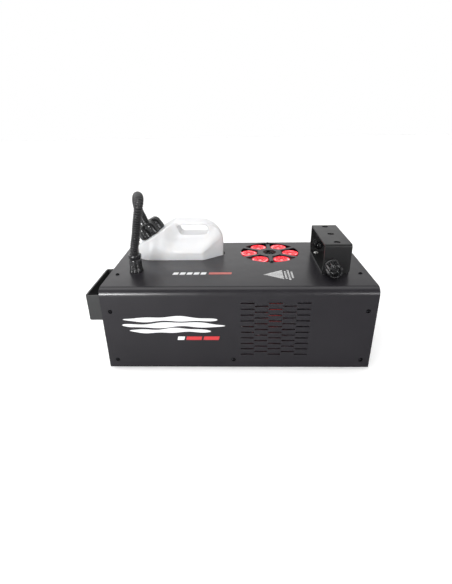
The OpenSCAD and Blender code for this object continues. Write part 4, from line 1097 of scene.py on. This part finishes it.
# Brightness by the angle over the top of the object, from the back horizon (0) to the front one (180 degrees)
SKY = ((0, 0.95), (30, 1.0), (42, 0.5), (60, 0.4), (68, 2.1), (94, 2.1), (104, 0.35), (120, 0.1), (150, 0.08),
       (178, 0.2))
BRIGHTEST = max(level for _, level in SKY)
direction = air.add("ShaderNodeSeparateXYZ")
air.link(air.add("ShaderNodeTexCoord").outputs["Generated"], direction.inputs[0])
over = air.math("DIVIDE", air.math("ARCTAN2", direction.outputs["Z"], direction.outputs["Y"]), math.pi)
sky = air.add("ShaderNodeValToRGB")
stops = sky.color_ramp.elements
for i, (angle, level) in enumerate(SKY):
    stop = stops[i] if i < 1 else stops.new(angle / 180)
    stop.position = angle / 180
    stop.color = (level / BRIGHTEST,) * 3 + (1,)
stops.remove(stops[len(stops) - 1])
air.link(over, sky.inputs["Fac"])
sides = air.ramp(direction.outputs["X"], -0.25, 0.5, 1.12, 0.6, interpolation_type="SMOOTHSTEP")
unseen_level = air.math("MULTIPLY", air.math("MULTIPLY", sky.outputs["Color"], sides), BRIGHTEST)
# The camera itself sees plain white
seen, unseen = air.add("ShaderNodeBackground"), air.add("ShaderNodeBackground")
air.link(unseen_level, unseen.inputs["Strength"])
for node in (seen, unseen):
    node.inputs["Color"].default_value = (1, 1, 1, 1)
mix = air.add("ShaderNodeMixShader")
air.link(air.add("ShaderNodeLightPath").outputs["Is Camera Ray"], mix.inputs[0])
air.link(unseen.outputs[0], mix.inputs[1])
air.link(seen.outputs[0], mix.inputs[2])
air.link(mix.outputs[0], air.add("ShaderNodeOutputWorld").inputs[0])


def area(name, stand, target, size, energy, highlights):
    """A softbox seen only in highlights, or one that only lights matte surfaces."""
    light = bpy.data.lights.new(name, "AREA")
    light.shape, light.size, light.size_y = "RECTANGLE", *size
    light.energy = energy
    ob = linked(name, light)
    ob.location = stand
    ob.rotation_euler = (Vector(target) - Vector(stand)).to_track_quat("-Z", "Y").to_euler()
    ob.visible_diffuse, ob.visible_glossy = not highlights, highlights


area("left_softbox", (-0.62, -1.12, 0.40), (-0.1, 0, 0.12), (0.32, 0.2), 15, True)
area("right_softbox", (0.66, -1.1, 0.36), (0.1, 0, 0.12), (0.3, 0.24), 3, True)
area("front_fill", (-0.35, -1.5, 0.95), (0, 0, 0.1), (1.5, 0.9), 25, False)
inner = bpy.data.lights.new("ring_glow", "POINT")
inner.energy, inner.color, inner.shadow_soft_size = 0.02, (1, 0.04, 0.03), 0.012
glow_at = linked("ring_glow", inner)
glow_at.location = at(RING_X, RING_Y - 118, DECK - 22)

camera = bpy.data.cameras.new("camera")
camera.lens, camera.sensor_width, camera.clip_start = 23.531, 36, 0.01
camera_at = linked("camera", camera)
camera_at.location = (0.00863, -0.59952, 0.36191)
camera_at.rotation_euler = [math.radians(a) for a in (64.8559, 0.9218, 1.4888)]
bpy.context.scene.camera = camera_at
bpy.context.scene.view_settings.view_transform = "Standard"
